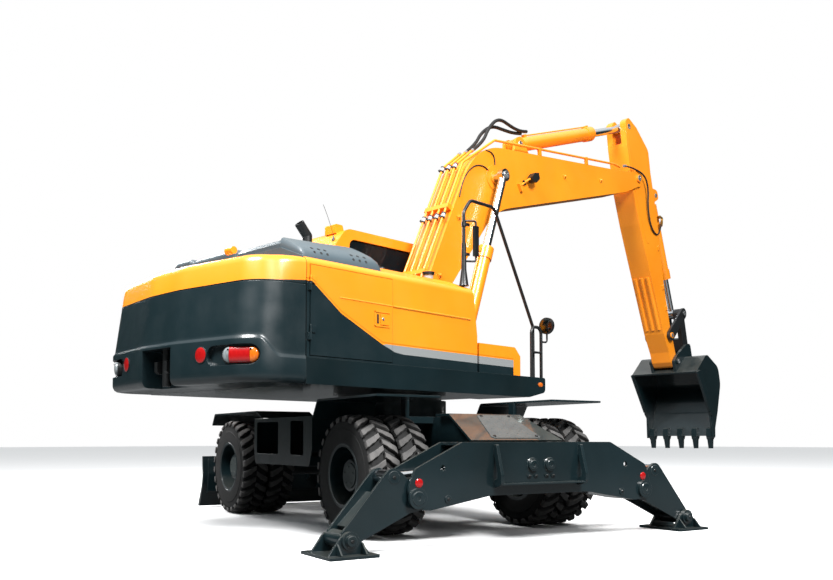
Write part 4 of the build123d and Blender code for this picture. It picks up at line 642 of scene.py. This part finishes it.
def tail_wall():
    """Outer wall of the casting as rings of points from its lower edge to its top."""
    plan = split_runs(rounded(TAIL_PLAN, 0.022), 0.045)
    runs = [0.0]
    for (ax, ay), (bx, by) in zip(plan, plan[1:]):
        runs.append(runs[-1] + ((bx - ax) ** 2 + (by - ay) ** 2) ** 0.5)
    columns = []
    for i, (x, y) in enumerate(plan):
        near_seam = min(runs[i], runs[-1] - runs[i])
        before, after = plan[max(0, i - 1)], plan[min(len(plan) - 1, i + 1)]
        along = Vector((after[0] - before[0], after[1] - before[1], 0)).normalized()
        out = Vector((-along.y, along.x, 0))
        lean = LEAN * ease(near_seam, *LEAN_GROWS)
        ledge = LEDGE_LOW_Z + (LEDGE_Z - LEDGE_LOW_Z) * ease(near_seam, *LEDGE_DROP)
        step = LEDGE_DEPTH * (0.5 + 0.5 * ease(near_seam, 0, 0.05))
        rows = TAIL_FOOT + [(ledge - 0.020, 0.0), (ledge - 0.012, 0.002), (ledge + 0.004, step - 0.003)]
        top = ledge + 0.010
        rows.append((top + 0.006, step + 0.006 * lean))
        for share in (0.06, 0.2, 0.4, 0.6, 0.8, 1.0):
            z = top + (BAND_Z - 0.006 - top) * share
            rows.append((z, step + (z - top) * lean))
        inset = step + (BAND_Z - top) * lean
        rows += [(BAND_Z - 0.003, inset + 0.004), (BAND_Z + 0.001, inset + 0.004), (BAND_Z + 0.004, inset)]
        round_off = ease(near_seam, 0.0, 0.30)
        for (seam_z, seam_in), (tail_z, tail_in) in zip(SEAM_SHOULDER, TAIL_SHOULDER):
            rows.append((
                seam_z + (tail_z - seam_z) * round_off, (1 - round_off) * seam_in + round_off * (inset + tail_in),
            ))
        columns.append([Vector((x, y, 0)) - out * depth + Vector((0, 0, z)) for z, depth in rows])
    return [list(ring) for ring in zip(*columns)]


def cut(piece, cutters):
    """Takes other meshes out of a piece, which stays a plain mesh."""
    for cutter in cutters:
        change = piece.modifiers.new("cut", "BOOLEAN")
        change.object = cutter
        change.operation = "DIFFERENCE"
        change.solver = "EXACT"
    bpy.context.view_layer.update()
    made = bpy.data.meshes.new_from_object(piece.evaluated_get(bpy.context.evaluated_depsgraph_get()))
    piece.modifiers.clear()
    piece.data = made
    for cutter in cutters:
        bpy.data.objects.remove(cutter)


def stadium(length, height):
    """Outline with round ends, as rows of two coordinates."""
    steps = 10
    radius = height / 2
    reach = length / 2 - radius
    rows = []
    for k in range(2 * steps + 2):
        turn = pi * (k if k <= steps else k - 1) / steps - pi / 2
        side = 1 if k <= steps else -1
        rows.append((side * reach + radius * cos(turn), radius * sin(turn)))
    return rows


def faced(spot, turn, side):
    """Frame on the casting's wall at the lamps' height, with x outward, mirrored from side to side."""
    return Matrix.Translation((spot[0], side * spot[1], LAMP_Z)) @ Matrix.Rotation(side * turn, 4, "Z")


kit = Kit("tail_casting", "upper", tail_paint, "slate_paint")
kit.loft(tail_wall())
casting = kit.shape()
kit = Kit("tow_pocket", "upper", black, "black_paint")
kit.prism([(-3.0, 1.20), (-2.55, 1.20), (-2.55, 1.585), (-2.57, 1.605), (-3.0, 1.605)], -0.235, 0.235)
cutters = [kit.shape()]
for side in (-1, 1):
    for name, spot, turn, length, depth in POCKETS:
        kit = Kit(name, "upper", black, "black_paint", faced(spot, turn, side))
        kit.prism(stadium(length, POCKET_HEIGHT), depth, 0.2, "YZ")
        cutters.append(kit.shape())
cut(casting, cutters)
shade(casting, 38)
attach(casting, "upper")
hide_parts("counterweight")

# Two lifting eyes on the casting's top.
EYE_X, EYE_Z, EYE_RADIUS, EYES_Y = -2.31, 2.445, 0.032, (-0.45, 0.45)
kit = Kit("lifting_eyes", "upper", yellow, "body_yellow")
for y in EYES_Y:
    kit.box((EYE_X, y, 2.318), (0.24, 0.09, 0.024))
    arch = [(-2.405, 2.31), (-2.400, 2.43)]
    arch += [(EYE_X + 0.090 * cos(pi - pi * k / 14), 2.435 + 0.060 * sin(pi * k / 14)) for k in range(15)]
    arch += [(-2.220, 2.43), (-2.215, 2.31)]
    kit.prism(arch, y - 0.02, y + 0.02)
eyes = kit.shape()
cutters = []
for y in EYES_Y:
    kit = Kit("eye_hole", "upper", yellow, "body_yellow")
    kit.rod((EYE_X, y - 0.05, EYE_Z), (EYE_X, y + 0.05, EYE_Z), EYE_RADIUS, 24)
    cutters.append(kit.shape())
cut(eyes, cutters)
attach(eyes, "upper")

# Towing pin with its two cheeks inside the pocket.
kit = Kit("tow_pin", "upper", black, "black_paint")
kit.rod((-2.64, 0, 1.292), (-2.64, 0, 1.70), 0.036, 20)
for low, high in ((-0.10, -0.055), (0.055, 0.10)):
    kit.prism([(-2.54, 1.40), (-2.68, 1.40), (-2.70, 1.42), (-2.70, 1.50), (-2.54, 1.54)], low, high)
kit.done()

# Round reflectors on the counterweight.
kit = Kit("tail_reflectors", "upper", red, "lamp_lens")
rims = Kit("tail_reflector_rims", "upper", black, "black_paint")
for y in (-0.62, 0.62):
    _, spot, normal, _ = casting.ray_cast(Vector((-3.4, y, 1.515)), Vector((1, 0, 0)))
    rims.lathe(spot - normal * 0.006, normal, [(0, 0.068), (0.010, 0.068), (0.012, 0.064), (0.008, 0.062)])
    kit.lathe(spot, normal, [(0, 0.062), (0.006, 0.062), (0.009, 0.055), (0.010, 0.02)])
kit.done()
rims.done()

# Rear lamp clusters: a black tray, a red body with a clear end and an amber end.
LENS_HALF, LENS_RADIUS, LENS_CROWN, LENS_FOOT = 0.155, 0.064, 0.032, 0.006
for side, label in ((-1, "right"), (1, "left")):
    spot = faced(LAMP_SPOT, LAMP_TURN, side) @ Matrix.Translation((-0.012, 0, 0))
    tray = Kit(f"lamp_tray_{label}", "upper", black, "black_paint", spot)
    tray.prism(stadium(0.340, POCKET_HEIGHT), -0.045, 0.0, "YZ")
    tray.prism(stadium(0.326, 0.146), 0.0, LENS_FOOT, "YZ")
    tray_piece = tray.done()
    if side < 0:
        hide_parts("rear_lamps")
    for part, finish, low, high in (
        ("red", red, -0.088, 0.090), ("clear", clear, 0.093, 0.155), ("amber", amber, -0.155, -0.091),
    ):
        lens = Kit(f"lamp_{part}_{label}", "upper", finish, "lamp_lens", spot)
        start, end = sorted((side * low, side * high))
        rings = []
        for i in range(13):
            y = start + (end - start) * i / 12
            over = max(0.0, abs(y) - (LENS_HALF - LENS_RADIUS))
            reach = max(LENS_RADIUS ** 2 - over ** 2, 0.00003) ** 0.5
            crown = LENS_CROWN * (reach / LENS_RADIUS) ** 0.5
            rings.append([
                (LENS_FOOT + crown * sin(pi * k / 14) ** 0.6, y, reach * cos(pi * k / 14)) for k in range(15)
            ])
        lens.loft(rings)
        lens.done()
    screws = Kit(f"lamp_screws_{label}", "upper", black, "black_paint", spot)
    for y in (-0.098, 0.098):
        screws.lathe((0.036, y, 0.040), (1, 0, 0), [(0, 0.007), (0.006, 0.007)], 10)
    screws.done()


# Tyre lugs: leaning bars with a stepped outer end, set round the tyre by a node tree.
LUG_ROWS = [
    # y, shift along the tread, top radius, half width
    (0.003, 0.000, 0.5285, 0.025), (0.040, 0.022, 0.5290, 0.027), (0.060, 0.040, 0.5290, 0.031),
    (0.092, 0.056, 0.527, 0.030), (0.122, 0.074, 0.520, 0.034), (0.138, 0.078, 0.508, 0.033),
    (0.1395, 0.080, 0.470, 0.031),
]
LUG_COUNT, LUG_STAGGER, LUG_FOOT_RADIUS, TREAD_RADIUS = 26, 0.5, 0.485, 0.52


def lug(side):
    """One lug at the top of a tyre, axle along y; its road faces are marked for dust and a painted highlight."""
    made = bmesh.new()
    worn = made.verts.layers.float.new("worn")
    rings = []
    for y, shift, top, half in LUG_ROWS:
        foot = min(LUG_FOOT_RADIUS, top - 0.004)
        ring = []
        for radius, offset, mark in (
            (foot, -half - 0.006, 0.0), (top - 0.004, -half, 0.6), (top, -half + 0.005, 1.0),
            (top, half - 0.005, 1.0), (top - 0.004, half, 0.6), (foot, half + 0.006, 0.0),
        ):
            turn = (shift + offset) / TREAD_RADIUS
            vert = made.verts.new((radius * sin(turn), side * y, radius * cos(turn)))
            vert[worn] = mark
            ring.append(vert)
        rings.append(ring)
    skin(made, rings)
    made.faces.new(rings[0])
    made.faces.new(rings[-1])
    bmesh.ops.recalc_face_normals(made, faces=made.faces)
    return settle("lug", made)


def tread_tree():
    """Sets two rows of lugs round an axle and joins them to the carcass that comes in."""
    tree = bpy.data.node_groups.new("tread", "GeometryNodeTree")
    face = tree.interface
    face.new_socket(name="Geometry", in_out="INPUT", socket_type="NodeSocketGeometry")
    for name in ("Lug Outer", "Lug Inner"):
        face.new_socket(name=name, in_out="INPUT", socket_type="NodeSocketObject")
    count = face.new_socket(name="Count", in_out="INPUT", socket_type="NodeSocketInt")
    count.default_value = LUG_COUNT
    stagger = face.new_socket(name="Stagger", in_out="INPUT", socket_type="NodeSocketFloat")
    stagger.default_value = LUG_STAGGER
    face.new_socket(name="Material", in_out="INPUT", socket_type="NodeSocketMaterial")
    face.new_socket(name="Geometry", in_out="OUTPUT", socket_type="NodeSocketGeometry")
    inside = node(tree, "NodeGroupInput").outputs
    joined = node(tree, "GeometryNodeJoinGeometry")
    for name, phase in (("Lug Outer", 0.0), ("Lug Inner", 1.0)):
        points = node(tree, "GeometryNodePoints", {"Count": inside["Count"]}).outputs[0]
        index = node(tree, "GeometryNodeInputIndex").outputs[0]
        place = reckon(tree, "ADD", index, reckon(tree, "MULTIPLY", inside["Stagger"], phase))
        turn = reckon(tree, "MULTIPLY", reckon(tree, "DIVIDE", place, inside["Count"]), 2 * pi)
        angle = node(tree, "ShaderNodeCombineXYZ", {"Y": turn}).outputs[0]
        source = node(tree, "GeometryNodeObjectInfo", {"Object": inside[name]}).outputs["Geometry"]
        row = {"Points": points, "Instance": source, "Rotation": angle}
        set_out = node(tree, "GeometryNodeInstanceOnPoints", row)
        tree.links.new(set_out.outputs[0], joined.inputs[0])
    tree.links.new(inside["Geometry"], joined.inputs[0])
    real = node(tree, "GeometryNodeRealizeInstances", {"Geometry": joined.outputs[0]}).outputs[0]
    dress = node(tree, "GeometryNodeSetMaterial", {"Geometry": real, "Material": inside["Material"]}).outputs[0]
    node(tree, "NodeGroupOutput", {"Geometry": dress})
    return tree


CARCASS = [
    # y from the middle of the tyre, radius
    (-0.136, 0.2635), (-0.139, 0.292), (-0.1395, 0.330), (-0.1385, 0.395), (-0.1385, 0.402), (-0.135, 0.404),
    (-0.135, 0.440), (-0.132, 0.468), (-0.112, 0.486), (-0.05, 0.493), (0.05, 0.493), (0.112, 0.486),
    (0.132, 0.468), (0.135, 0.440), (0.135, 0.404), (0.1385, 0.402), (0.1385, 0.395), (0.1395, 0.330),
    (0.139, 0.292), (0.136, 0.2635),
]
CARCASS_SIDES = 52
AXLE_Z, TYRES_Y, HUB_Y, TYRE_SHARP = 0.530, (1.110, 0.795), 1.180, 30
WHEELS = [
    # name, axle x, side
    ("front_left", -1.520, 1), ("front_right", -1.520, -1), ("rear_left", 1.330, 1), ("rear_right", 1.330, -1),
]
tread = tread_tree()
lug_outer, lug_inner = lug(1), lug(-1)
one = bmesh.new()
rings = [
    [one.verts.new((radius * sin(t), y, radius * cos(t))) for t in circle(CARCASS_SIDES)] for y, radius in CARCASS
]
skin(one, rings + rings[:1])
bmesh.ops.recalc_face_normals(one, faces=one.faces)
carcass = settle("carcass", one)
change = carcass.modifiers.new("tread", "NODES")
change.node_group = tread
TREAD_INPUTS = {
    "Lug Outer": lug_outer, "Lug Inner": lug_inner, "Count": LUG_COUNT, "Stagger": LUG_STAGGER, "Material": rubber,
}
for socket in tread.interface.items_tree:
    if socket.name in TREAD_INPUTS:
        change[socket.identifier] = TREAD_INPUTS[socket.name]
bpy.context.view_layer.update()
treaded = bpy.data.meshes.new_from_object(carcass.evaluated_get(bpy.context.evaluated_depsgraph_get()))
carcass.modifiers.clear()
for holder in (carcass, lug_outer, lug_inner):
    bpy.data.objects.remove(holder)
for name, axle_x, side in WHEELS:
    both = bmesh.new()
    for y in TYRES_Y:
        copy = treaded.copy()
        copy.transform(CARRIER @ Matrix.Translation((axle_x, side * y, AXLE_Z)))
        both.from_mesh(copy)
        bpy.data.meshes.remove(copy)
    pair = settle(f"tyre_pair_{name}", both)
    pair.data.materials.append(rubber)
    shade(pair, TYRE_SHARP)
    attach(pair, f"wheel_{name}")
    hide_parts(f"tyres_{name}")

    # Hub cover with its bolts, and the locking ring of the rim.
    cap = Kit(f"hub_cover_{name}", f"wheel_{name}", hub_grey, "slate_paint", CARRIER)
    cap.lathe((axle_x, side * HUB_Y, AXLE_Z), (0, side, 0), [
        (-0.004, 0.112), (0.006, 0.112), (0.010, 0.108), (0.010, 0.020), (0.009, 0.001),
    ], 40)
    for k in range(5):
        turn = 2 * pi * k / 5 + 0.3
        spot = (axle_x + 0.078 * cos(turn), side * (HUB_Y + 0.009), AXLE_Z + 0.078 * sin(turn))
        cap.bolt(spot, (0, side, 0), 0.015, 0.007)
    cap.done()
    ring = Kit(f"rim_ring_{name}", f"wheel_{name}", slate, "slate_paint", CARRIER)
    turns = circle(CARCASS_SIDES) + [2 * pi]
    for radius, y in ((0.272, 1.2465), (0.258, 1.240)):
        round_points = [(axle_x + radius * cos(t), side * y, AXLE_Z + radius * sin(t)) for t in turns]
        ring.line(round_points, 0.005, 8, smooth=False)
    ring.done()

# Rear deck: a grey tread plate with raised bars and a bolt at each corner.
DECK_TOP, DECK_LOW = Vector((1.706, 0, 1.072)), Vector((2.180, 0, 0.838))
DECK_DOWN = (DECK_LOW - DECK_TOP).normalized()
DECK_OUT = Vector((-DECK_DOWN.z, 0, DECK_DOWN.x))
DECK_PLATE = [
    # share down the slope, y
    (0.06, -0.10), (0.06, 0.24), (0.10, 0.262), (0.90, 0.285), (0.94, 0.26), (0.94, -0.23), (0.90, -0.255),
    (0.10, -0.125),
]
PLATE_FACE = 0.005


def on_deck(share, y, lift):
    """Point on the deck's slope, by its share of the way down, its y and its height over the slope."""
    return DECK_TOP + (DECK_LOW - DECK_TOP) * share + Vector((0, y, 0)) + DECK_OUT * lift


deck = Kit("deck_plate", "carrier", deck_grey, "slate_paint", CARRIER)
deck.loft([[on_deck(u, y, lift) for u, y in DECK_PLATE] for lift in (-0.002, PLATE_FACE)])
for row in range(9):
    for column in range(9):
        u, y = 0.14 + row * 0.09, -0.20 + column * 0.055
        if y < -0.09 - 0.14 * u or y > 0.225:
            continue
        turn = 1 if (row + column) % 2 else -1
        a = on_deck(u - 0.022, y - turn * 0.012, PLATE_FACE)
        b = on_deck(u + 0.022, y + turn * 0.012, PLATE_FACE)
        aside = (b - a).normalized().cross(DECK_OUT) * 0.004
        foot, crest = (
            [a - aside * wide, a + aside * wide, b + aside * wide, b - aside * wide] for wide in (1, 0.4)
        )
        deck.loft([foot, [p + DECK_OUT * 0.002 for p in crest]])
deck.done(smooth=False)
deck = Kit("deck_bolts", "carrier", black, "black_paint", CARRIER)
for u, y in ((0.11, -0.085), (0.11, 0.225), (0.88, 0.245), (0.88, -0.215)):
    deck.bolt(on_deck(u, y, PLATE_FACE), DECK_OUT, 0.020, 0.009)
deck.done()

# Sloping grey cover on the right shoulder, beside the hood, with two groups of air holes.
SHOULDER_SECTION = [
    # y, height over the roof
    (-1.188, -0.006), (-1.180, 0.036), (-1.160, 0.062), (-1.10, 0.078), (-1.00, 0.088), (-0.93, 0.092), (-0.885, 0.094),
]
SHOULDER_RUN = [
    # x, share of the height
    (-2.117, 0.30), (-2.112, 0.66), (-2.100, 0.90), (-2.080, 1.0), (-1.70, 1.16), (-1.40, 1.34), (-1.335, 1.35),
    (-1.298, 1.27), (-1.272, 1.08), (-1.258, 0.78), (-1.252, 0.40), (-1.250, 0.0),
]


def roof_z(y):
    """Height of the sloping roof beside the hood."""
    return 2.300 + 0.379 * (y + 1.235)


kit = Kit("shoulder_cover", "upper", cover, "cover_plastic")
rings = []
for x, share in SHOULDER_RUN:
    top = [(x, y, roof_z(y) + max(rise * share, -0.006)) for y, rise in SHOULDER_SECTION]
    low = [(x, y, roof_z(y) - 0.010) for y, _ in (SHOULDER_SECTION[-1], SHOULDER_SECTION[0])]
    rings.append(top + low)
kit.loft(rings)
kit.prism([
    (-1.195, 2.29), (-1.192, 2.322), (-0.905, 2.431), (-0.56, 2.436), (0.62, 2.436), (0.70, 2.29),
], -2.128, -2.1165, "YZ")
shoulder = kit.done()
# The air holes are shallow black dishes: their black is the painted shade inside the holes.
holes = Kit("shoulder_air_holes", "upper", hose, "black_paint")
toward = Vector((0, 0.5, -0.2))
for x in (-1.982, -1.912, -1.846, -1.562, -1.491, -1.419):
    for z, y, radius in ((2.413, -1.135, 0.015), (2.372, -1.166, 0.012)):
        hit, spot, normal, _ = shoulder.ray_cast(Vector((x, y, z)) - toward, toward.normalized())
        if hit:
            holes.lathe(spot - normal * 0.001, normal, [
                (0, radius), (0.003, radius), (0.0015, radius * 0.7), (0.001, 0.001),
            ], 18)
holes.done()

# Crease pressed in the pump door and on over the fixed panel; it fades out at its two ends.
SIDE_Y = -1.240
CREASE_ENDS = (-1.769, -0.103)
for name, body, start, end in (
    ("door_crease", "pump_door", CREASE_ENDS[0], -1.162), ("panel_crease", "upper", -1.148, CREASE_ENDS[1]),
):
    kit = Kit(name, body, side_paint, "body_yellow")
    rings = []
    for x in (start, start + 0.03, end - 0.03, end):
        z = 2.019 - 0.0078 * (x - CREASE_ENDS[0])
        proud = 0.001 if x in CREASE_ENDS else 0.006
        rings.append([
            (x, SIDE_Y + 0.004, z - 0.014), (x, SIDE_Y - proud, z - 0.002), (x, SIDE_Y - proud * 0.7, z + 0.004),
            (x, SIDE_Y + 0.004, z + 0.010),
        ])
    kit.loft(rings)
    kit.done()

# Latch of the pump door, its slot and its lock.
latch = Kit("door_latch_frame", "pump_door", yellow, "body_yellow")
for middle, size in (
    ((-1.286, -1.2425, 1.946), (0.180, 0.007, 0.010)), ((-1.286, -1.2425, 1.822), (0.180, 0.007, 0.012)),
    ((-1.371, -1.2425, 1.884), (0.010, 0.007, 0.134)), ((-1.255, -1.243, 1.884), (0.100, 0.008, 0.096)),
):
    latch.box(middle, size, bevel=0.002)
latch.done()
# The slot is a thin black box: its dark is painted shade.
latch = Kit("door_latch_slot", "pump_door", hose, "black_paint")
latch.box((-1.336, -1.2405, 1.884), (0.022, 0.004, 0.080))
latch.done()
latch = Kit("door_lock", "pump_door", zinc, "rod_chrome")
latch.lathe((-1.278, -1.2465, 1.886), (0, -1, 0), [
    (0, 0.013), (0.004, 0.013), (0.006, 0.010), (0.006, 0.004), (0.003, 0.001),
], 24)
latch.done()

# Amber marker at the front of the skirt.
spot, facing = surface("upper_frame", (1.030, -1.8, 1.423), (0, 1, 0))
marker = Kit("skirt_marker", "upper", amber, "lamp_lens")
marker.loft([
    [spot + facing * lift + Vector((grow * 0.040 * cos(t), 0, grow * 0.024 * sin(t))) for t in circle(24)]
    for lift, grow in ((-0.002, 1.0), (0.006, 1.0), (0.011, 0.8), (0.013, 0.4))
])
marker.done()

# Outrigger beam: turned pin caps with their keepers and bolts, and round reflectors.
BEAM_FACE = 2.466
caps = Kit("outrigger_pin_caps", "carrier", slate, "slate_paint", CARRIER)
nuts = Kit("outrigger_pin_bolts", "carrier", black, "black_paint", CARRIER)
lenses = Kit("outrigger_reflectors", "carrier", red, "lamp_lens", CARRIER)
for side in (-1, 1):
    for y, z, radius in ((1.210, 0.400, 0.062), (0.093, 0.635, 0.048)):
        caps.lathe((BEAM_FACE, side * y, z), (1, 0, 0), [
            (0, radius + 0.012), (0.006, radius + 0.012), (0.009, radius + 0.008), (0.009, radius - 0.004),
            (0.026, radius - 0.006), (0.031, radius - 0.012), (0.032, 0.016), (0.029, 0.015), (0.029, 0.001),
        ], 36)
    for y in (0.058, 0.128):
        caps.box((2.474, side * y, 0.545), (0.016, 0.042, 0.020))
        nuts.bolt((2.481, side * y, 0.545), (1, 0, 0), 0.016, 0.008)
    caps.rod((BEAM_FACE, side * 0.93, 0.385), (2.478, side * 0.93, 0.385), 0.030, 24)
    lenses.lathe((2.468, side * 1.195, 0.515), (1, 0, 0), [(0, 0.034), (0.006, 0.034), (0.010, 0.028), (0.011, 0.01)])
    nuts.bolt((2.468, side * 0.93, 0.385), (1, 0, 0), 0.026, 0.014)
caps.done()
nuts.done()
lenses.done()


def seat(name, place, start, toward):
    """Where a line in a member's frame meets a node, in that frame."""
    spot, _ = surface(name, place @ Vector(start), place.to_3x3() @ Vector(toward))
    return place.inverted() @ spot


# Pin caps of the legs and pads, and the gussets that stand on the pads.
GUSSET = [(2.466, 0.021), (2.545, 0.021), (2.545, 0.030), (2.480, 0.100), (2.466, 0.105)]
for side, label in ((-1, "right"), (1, "left")):
    for part, y, z, radius, proud in (("leg", 1.390, 0.560, 0.050, 0.006), ("pad", 1.775, 0.120, 0.040, 0.016)):
        body = f"outrigger_{part}_{label}"
        kit = Kit(f"{part}_pin_cap_{label}", body, slate, "slate_paint", CARRIER)
        bolts = Kit(f"{part}_pin_bolts_{label}", body, black, "black_paint", CARRIER)
        spot = seat(body, CARRIER, (3.2, side * y + 0.001, z + 0.001), (-1, 0, 0))
        kit.lathe((spot.x - 0.002, side * y, z), (1, 0, 0), [
            (0, radius), (proud - 0.003, radius), (proud, radius - 0.004), (proud, 0.010), (proud - 0.001, 0.001),
        ], 28)
        bolts.bolt((spot.x + proud - 0.005, side * y, z), (1, 0, 0), 0.022, 0.005)
        if part == "pad":
            for offset in (-0.100, 0.100):
                middle = side * y + offset
                kit.prism(GUSSET, middle - 0.006, middle + 0.006)
        kit.done()
        bolts.done()

# Antenna on the cab's rear corner.
kit = Kit("cab_antenna", "upper", black, "black_paint")
spot, _ = surface("cab_shell", (-0.36, 0.52, 3.6), (0, 0, -1))
kit.lathe(spot, (0, 0, 1), [(0, 0.018), (0.020, 0.016), (0.040, 0.007), (0.060, 0.004)], 16)
kit.line([spot + Vector(p) for p in ((0, 0, 0.05), (-0.06, -0.01, 0.20), (-0.17, -0.03, 0.36))], 0.0025, 6)
kit.done()

# Filler neck with its black cap, and the breather beside it.
FILLER, BREATHER = (-0.13, -0.70), (-0.78, -0.70)
kit = Kit("filler_neck", "upper", white, "body_yellow")
kit.lathe((*FILLER, 2.428), (0, 0, 1), [(0, 0.056), (0.006, 0.056), (0.008, 0.0478), (0.086, 0.0478)], 32)
kit.lathe((*BREATHER, 2.428), (0, 0, 1), [(0, 0.034), (0.006, 0.034), (0.008, 0.0285), (0.046, 0.0285)], 24)
kit.done()
kit = Kit("filler_cap", "upper", black, "black_paint")
kit.lathe((*FILLER, 2.510), (0, 0, 1), [
    (0, 0.052), (0.002, 0.0615), (0.026, 0.0625), (0.036, 0.056), (0.041, 0.040), (0.043, 0.012),
], 32)
kit.lathe((*BREATHER, 2.474), (0, 0, 1), [(0, 0.028), (0.002, 0.030), (0.014, 0.028), (0.020, 0.016)], 24)
kit.done()

# Flared socket at the rail's foot and the clamps of the mirror's bracket.
RAIL_FOOT = (-0.10, -1.15)
kit = Kit("rail_sockets", "upper", black, "black_paint")
kit.lathe((*RAIL_FOOT, 2.345), (0, 0, 1), [
    (0, 0.050), (0.02, 0.044), (0.16, 0.026), (0.42, 0.0225), (0.425, 0.018),
], 20)
for z in (2.66, 2.955):
    kit.lathe((*RAIL_FOOT, z - 0.022), (0, 0, 1), [(0, 0.024), (0.044, 0.024)], 16)
    kit.box((-0.070, -1.165, z), (0.060, 0.030, 0.024))
kit.done()

# Glass of the round mirror.
kit = Kit("mirror_glasses", "upper", mirror, "rod_chrome")
spot, _ = surface("handrails", (0.9, -1.215, 2.07), (1, 0, 0))
kit.lathe(spot + Vector((0.001, 0, 0)), (-1, 0, 0), [(0, 0.078), (0.004, 0.078), (0.008, 0.06), (0.010, 0.02)], 32)
kit.done()


# Camera, from the fit of the photograph's edges and wheel centres.
camera_data = bpy.data.cameras.new("camera")
camera = put("camera", camera_data)
bpy.context.scene.camera = camera
PHOTO_WIDTH, FOCAL_PX, YAW, PITCH = 833, 840.776, radians(44.234), radians(2.553)
camera_data.sensor_width = 36
camera_data.lens = FOCAL_PX / PHOTO_WIDTH * camera_data.sensor_width
camera_data.shift_y = 0.1345
camera_data.clip_end = 500
camera.location = (-6.283, -6.522, 0.842)
look = Vector((cos(YAW) * cos(PITCH), sin(YAW) * cos(PITCH), sin(PITCH)))
camera.rotation_euler = look.to_track_quat("-Z", "Y").to_euler()
bpy.context.scene.view_settings.view_transform = "Standard"

# Soft studio light: a bright ceiling over dark walls with a soft, uneven border, and a white backdrop.
world = bpy.data.worlds.new("studio")
bpy.context.scene.world = world
world.use_nodes = True
studio = world.node_tree
sky = studio.nodes["Background"]
toward = node(studio, "ShaderNodeTexCoord").outputs["Generated"]
rise = node(studio, "ShaderNodeSeparateXYZ", {"Vector": toward}).outputs["Z"]
cloud = node(studio, "ShaderNodeTexNoise", {"Vector": toward, "Scale": 3.0, "Detail": 4.0}).outputs["Fac"]
spread = reckon(studio, "MULTIPLY_ADD", cloud, 0.16, -0.08)
WALL_TONES = [(0.0, "#484C4C"), (0.05, "#222827"), (0.34, "#2F3635"), (0.52, "#BCC7CE"), (0.75, "#FFFFFF")]
walls = ramp(studio, reckon(studio, "ADD", rise, spread), [(share, colour(code)) for share, code in WALL_TONES])
backdrop = node(studio, "ShaderNodeLightPath").outputs["Is Camera Ray"]
studio.links.new(mix(studio, backdrop, walls, colour("#FFFFFF")), sky.inputs["Color"])
sky.inputs["Strength"].default_value = 1.0


def area_light(name, place, target, size, power, glossy=True):
    """Round studio lamp; without glossy it shows in no reflection."""
    data = bpy.data.lights.new(name, "AREA")
    data.shape = "DISK"
    data.size = size
    data.energy = power
    lamp = put(name, data)
    lamp.location = place
    lamp.rotation_euler = (Vector(target) - Vector(place)).to_track_quat("-Z", "Y").to_euler()
    lamp.visible_glossy = glossy


area_light("key", (-3, -12, 11), (0, 0, 2), 5, 3500)
area_light("low_front", (3, -13, 3), (1, 0, 1), 6, 130, glossy=False)
area_light("far_side", (1, 13, 8), (1, 0, 2), 6, 1500)
area_light("top", (-9, -1, 12), (0, 0, 2), 6, 3400)

# Pale studio floor: white to the camera, grey to the light that comes back from it.
FLOOR_HALF, FLOOR_Z = 90, -0.001
floor_mesh = bpy.data.meshes.new("floor")
floor_mesh.from_pydata([
    (-FLOOR_HALF, -FLOOR_HALF, FLOOR_Z), (FLOOR_HALF, -FLOOR_HALF, FLOOR_Z), (FLOOR_HALF, FLOOR_HALF, FLOOR_Z),
    (-FLOOR_HALF, FLOOR_HALF, FLOOR_Z),
], [], [(0, 1, 2, 3)])
floor = put("floor", floor_mesh)
paper, paper_tree, paper_shader = material("pale_studio_floor", "#F4F4F4", 0.9, spec=0.1)
seen = node(paper_tree, "ShaderNodeLightPath").outputs["Is Camera Ray"]
tone = mix(paper_tree, seen, colour("#606263"), colour("#FFFFFF"))
paper_tree.links.new(tone, paper_shader.inputs["Base Color"])
floor_mesh.materials.append(paper)
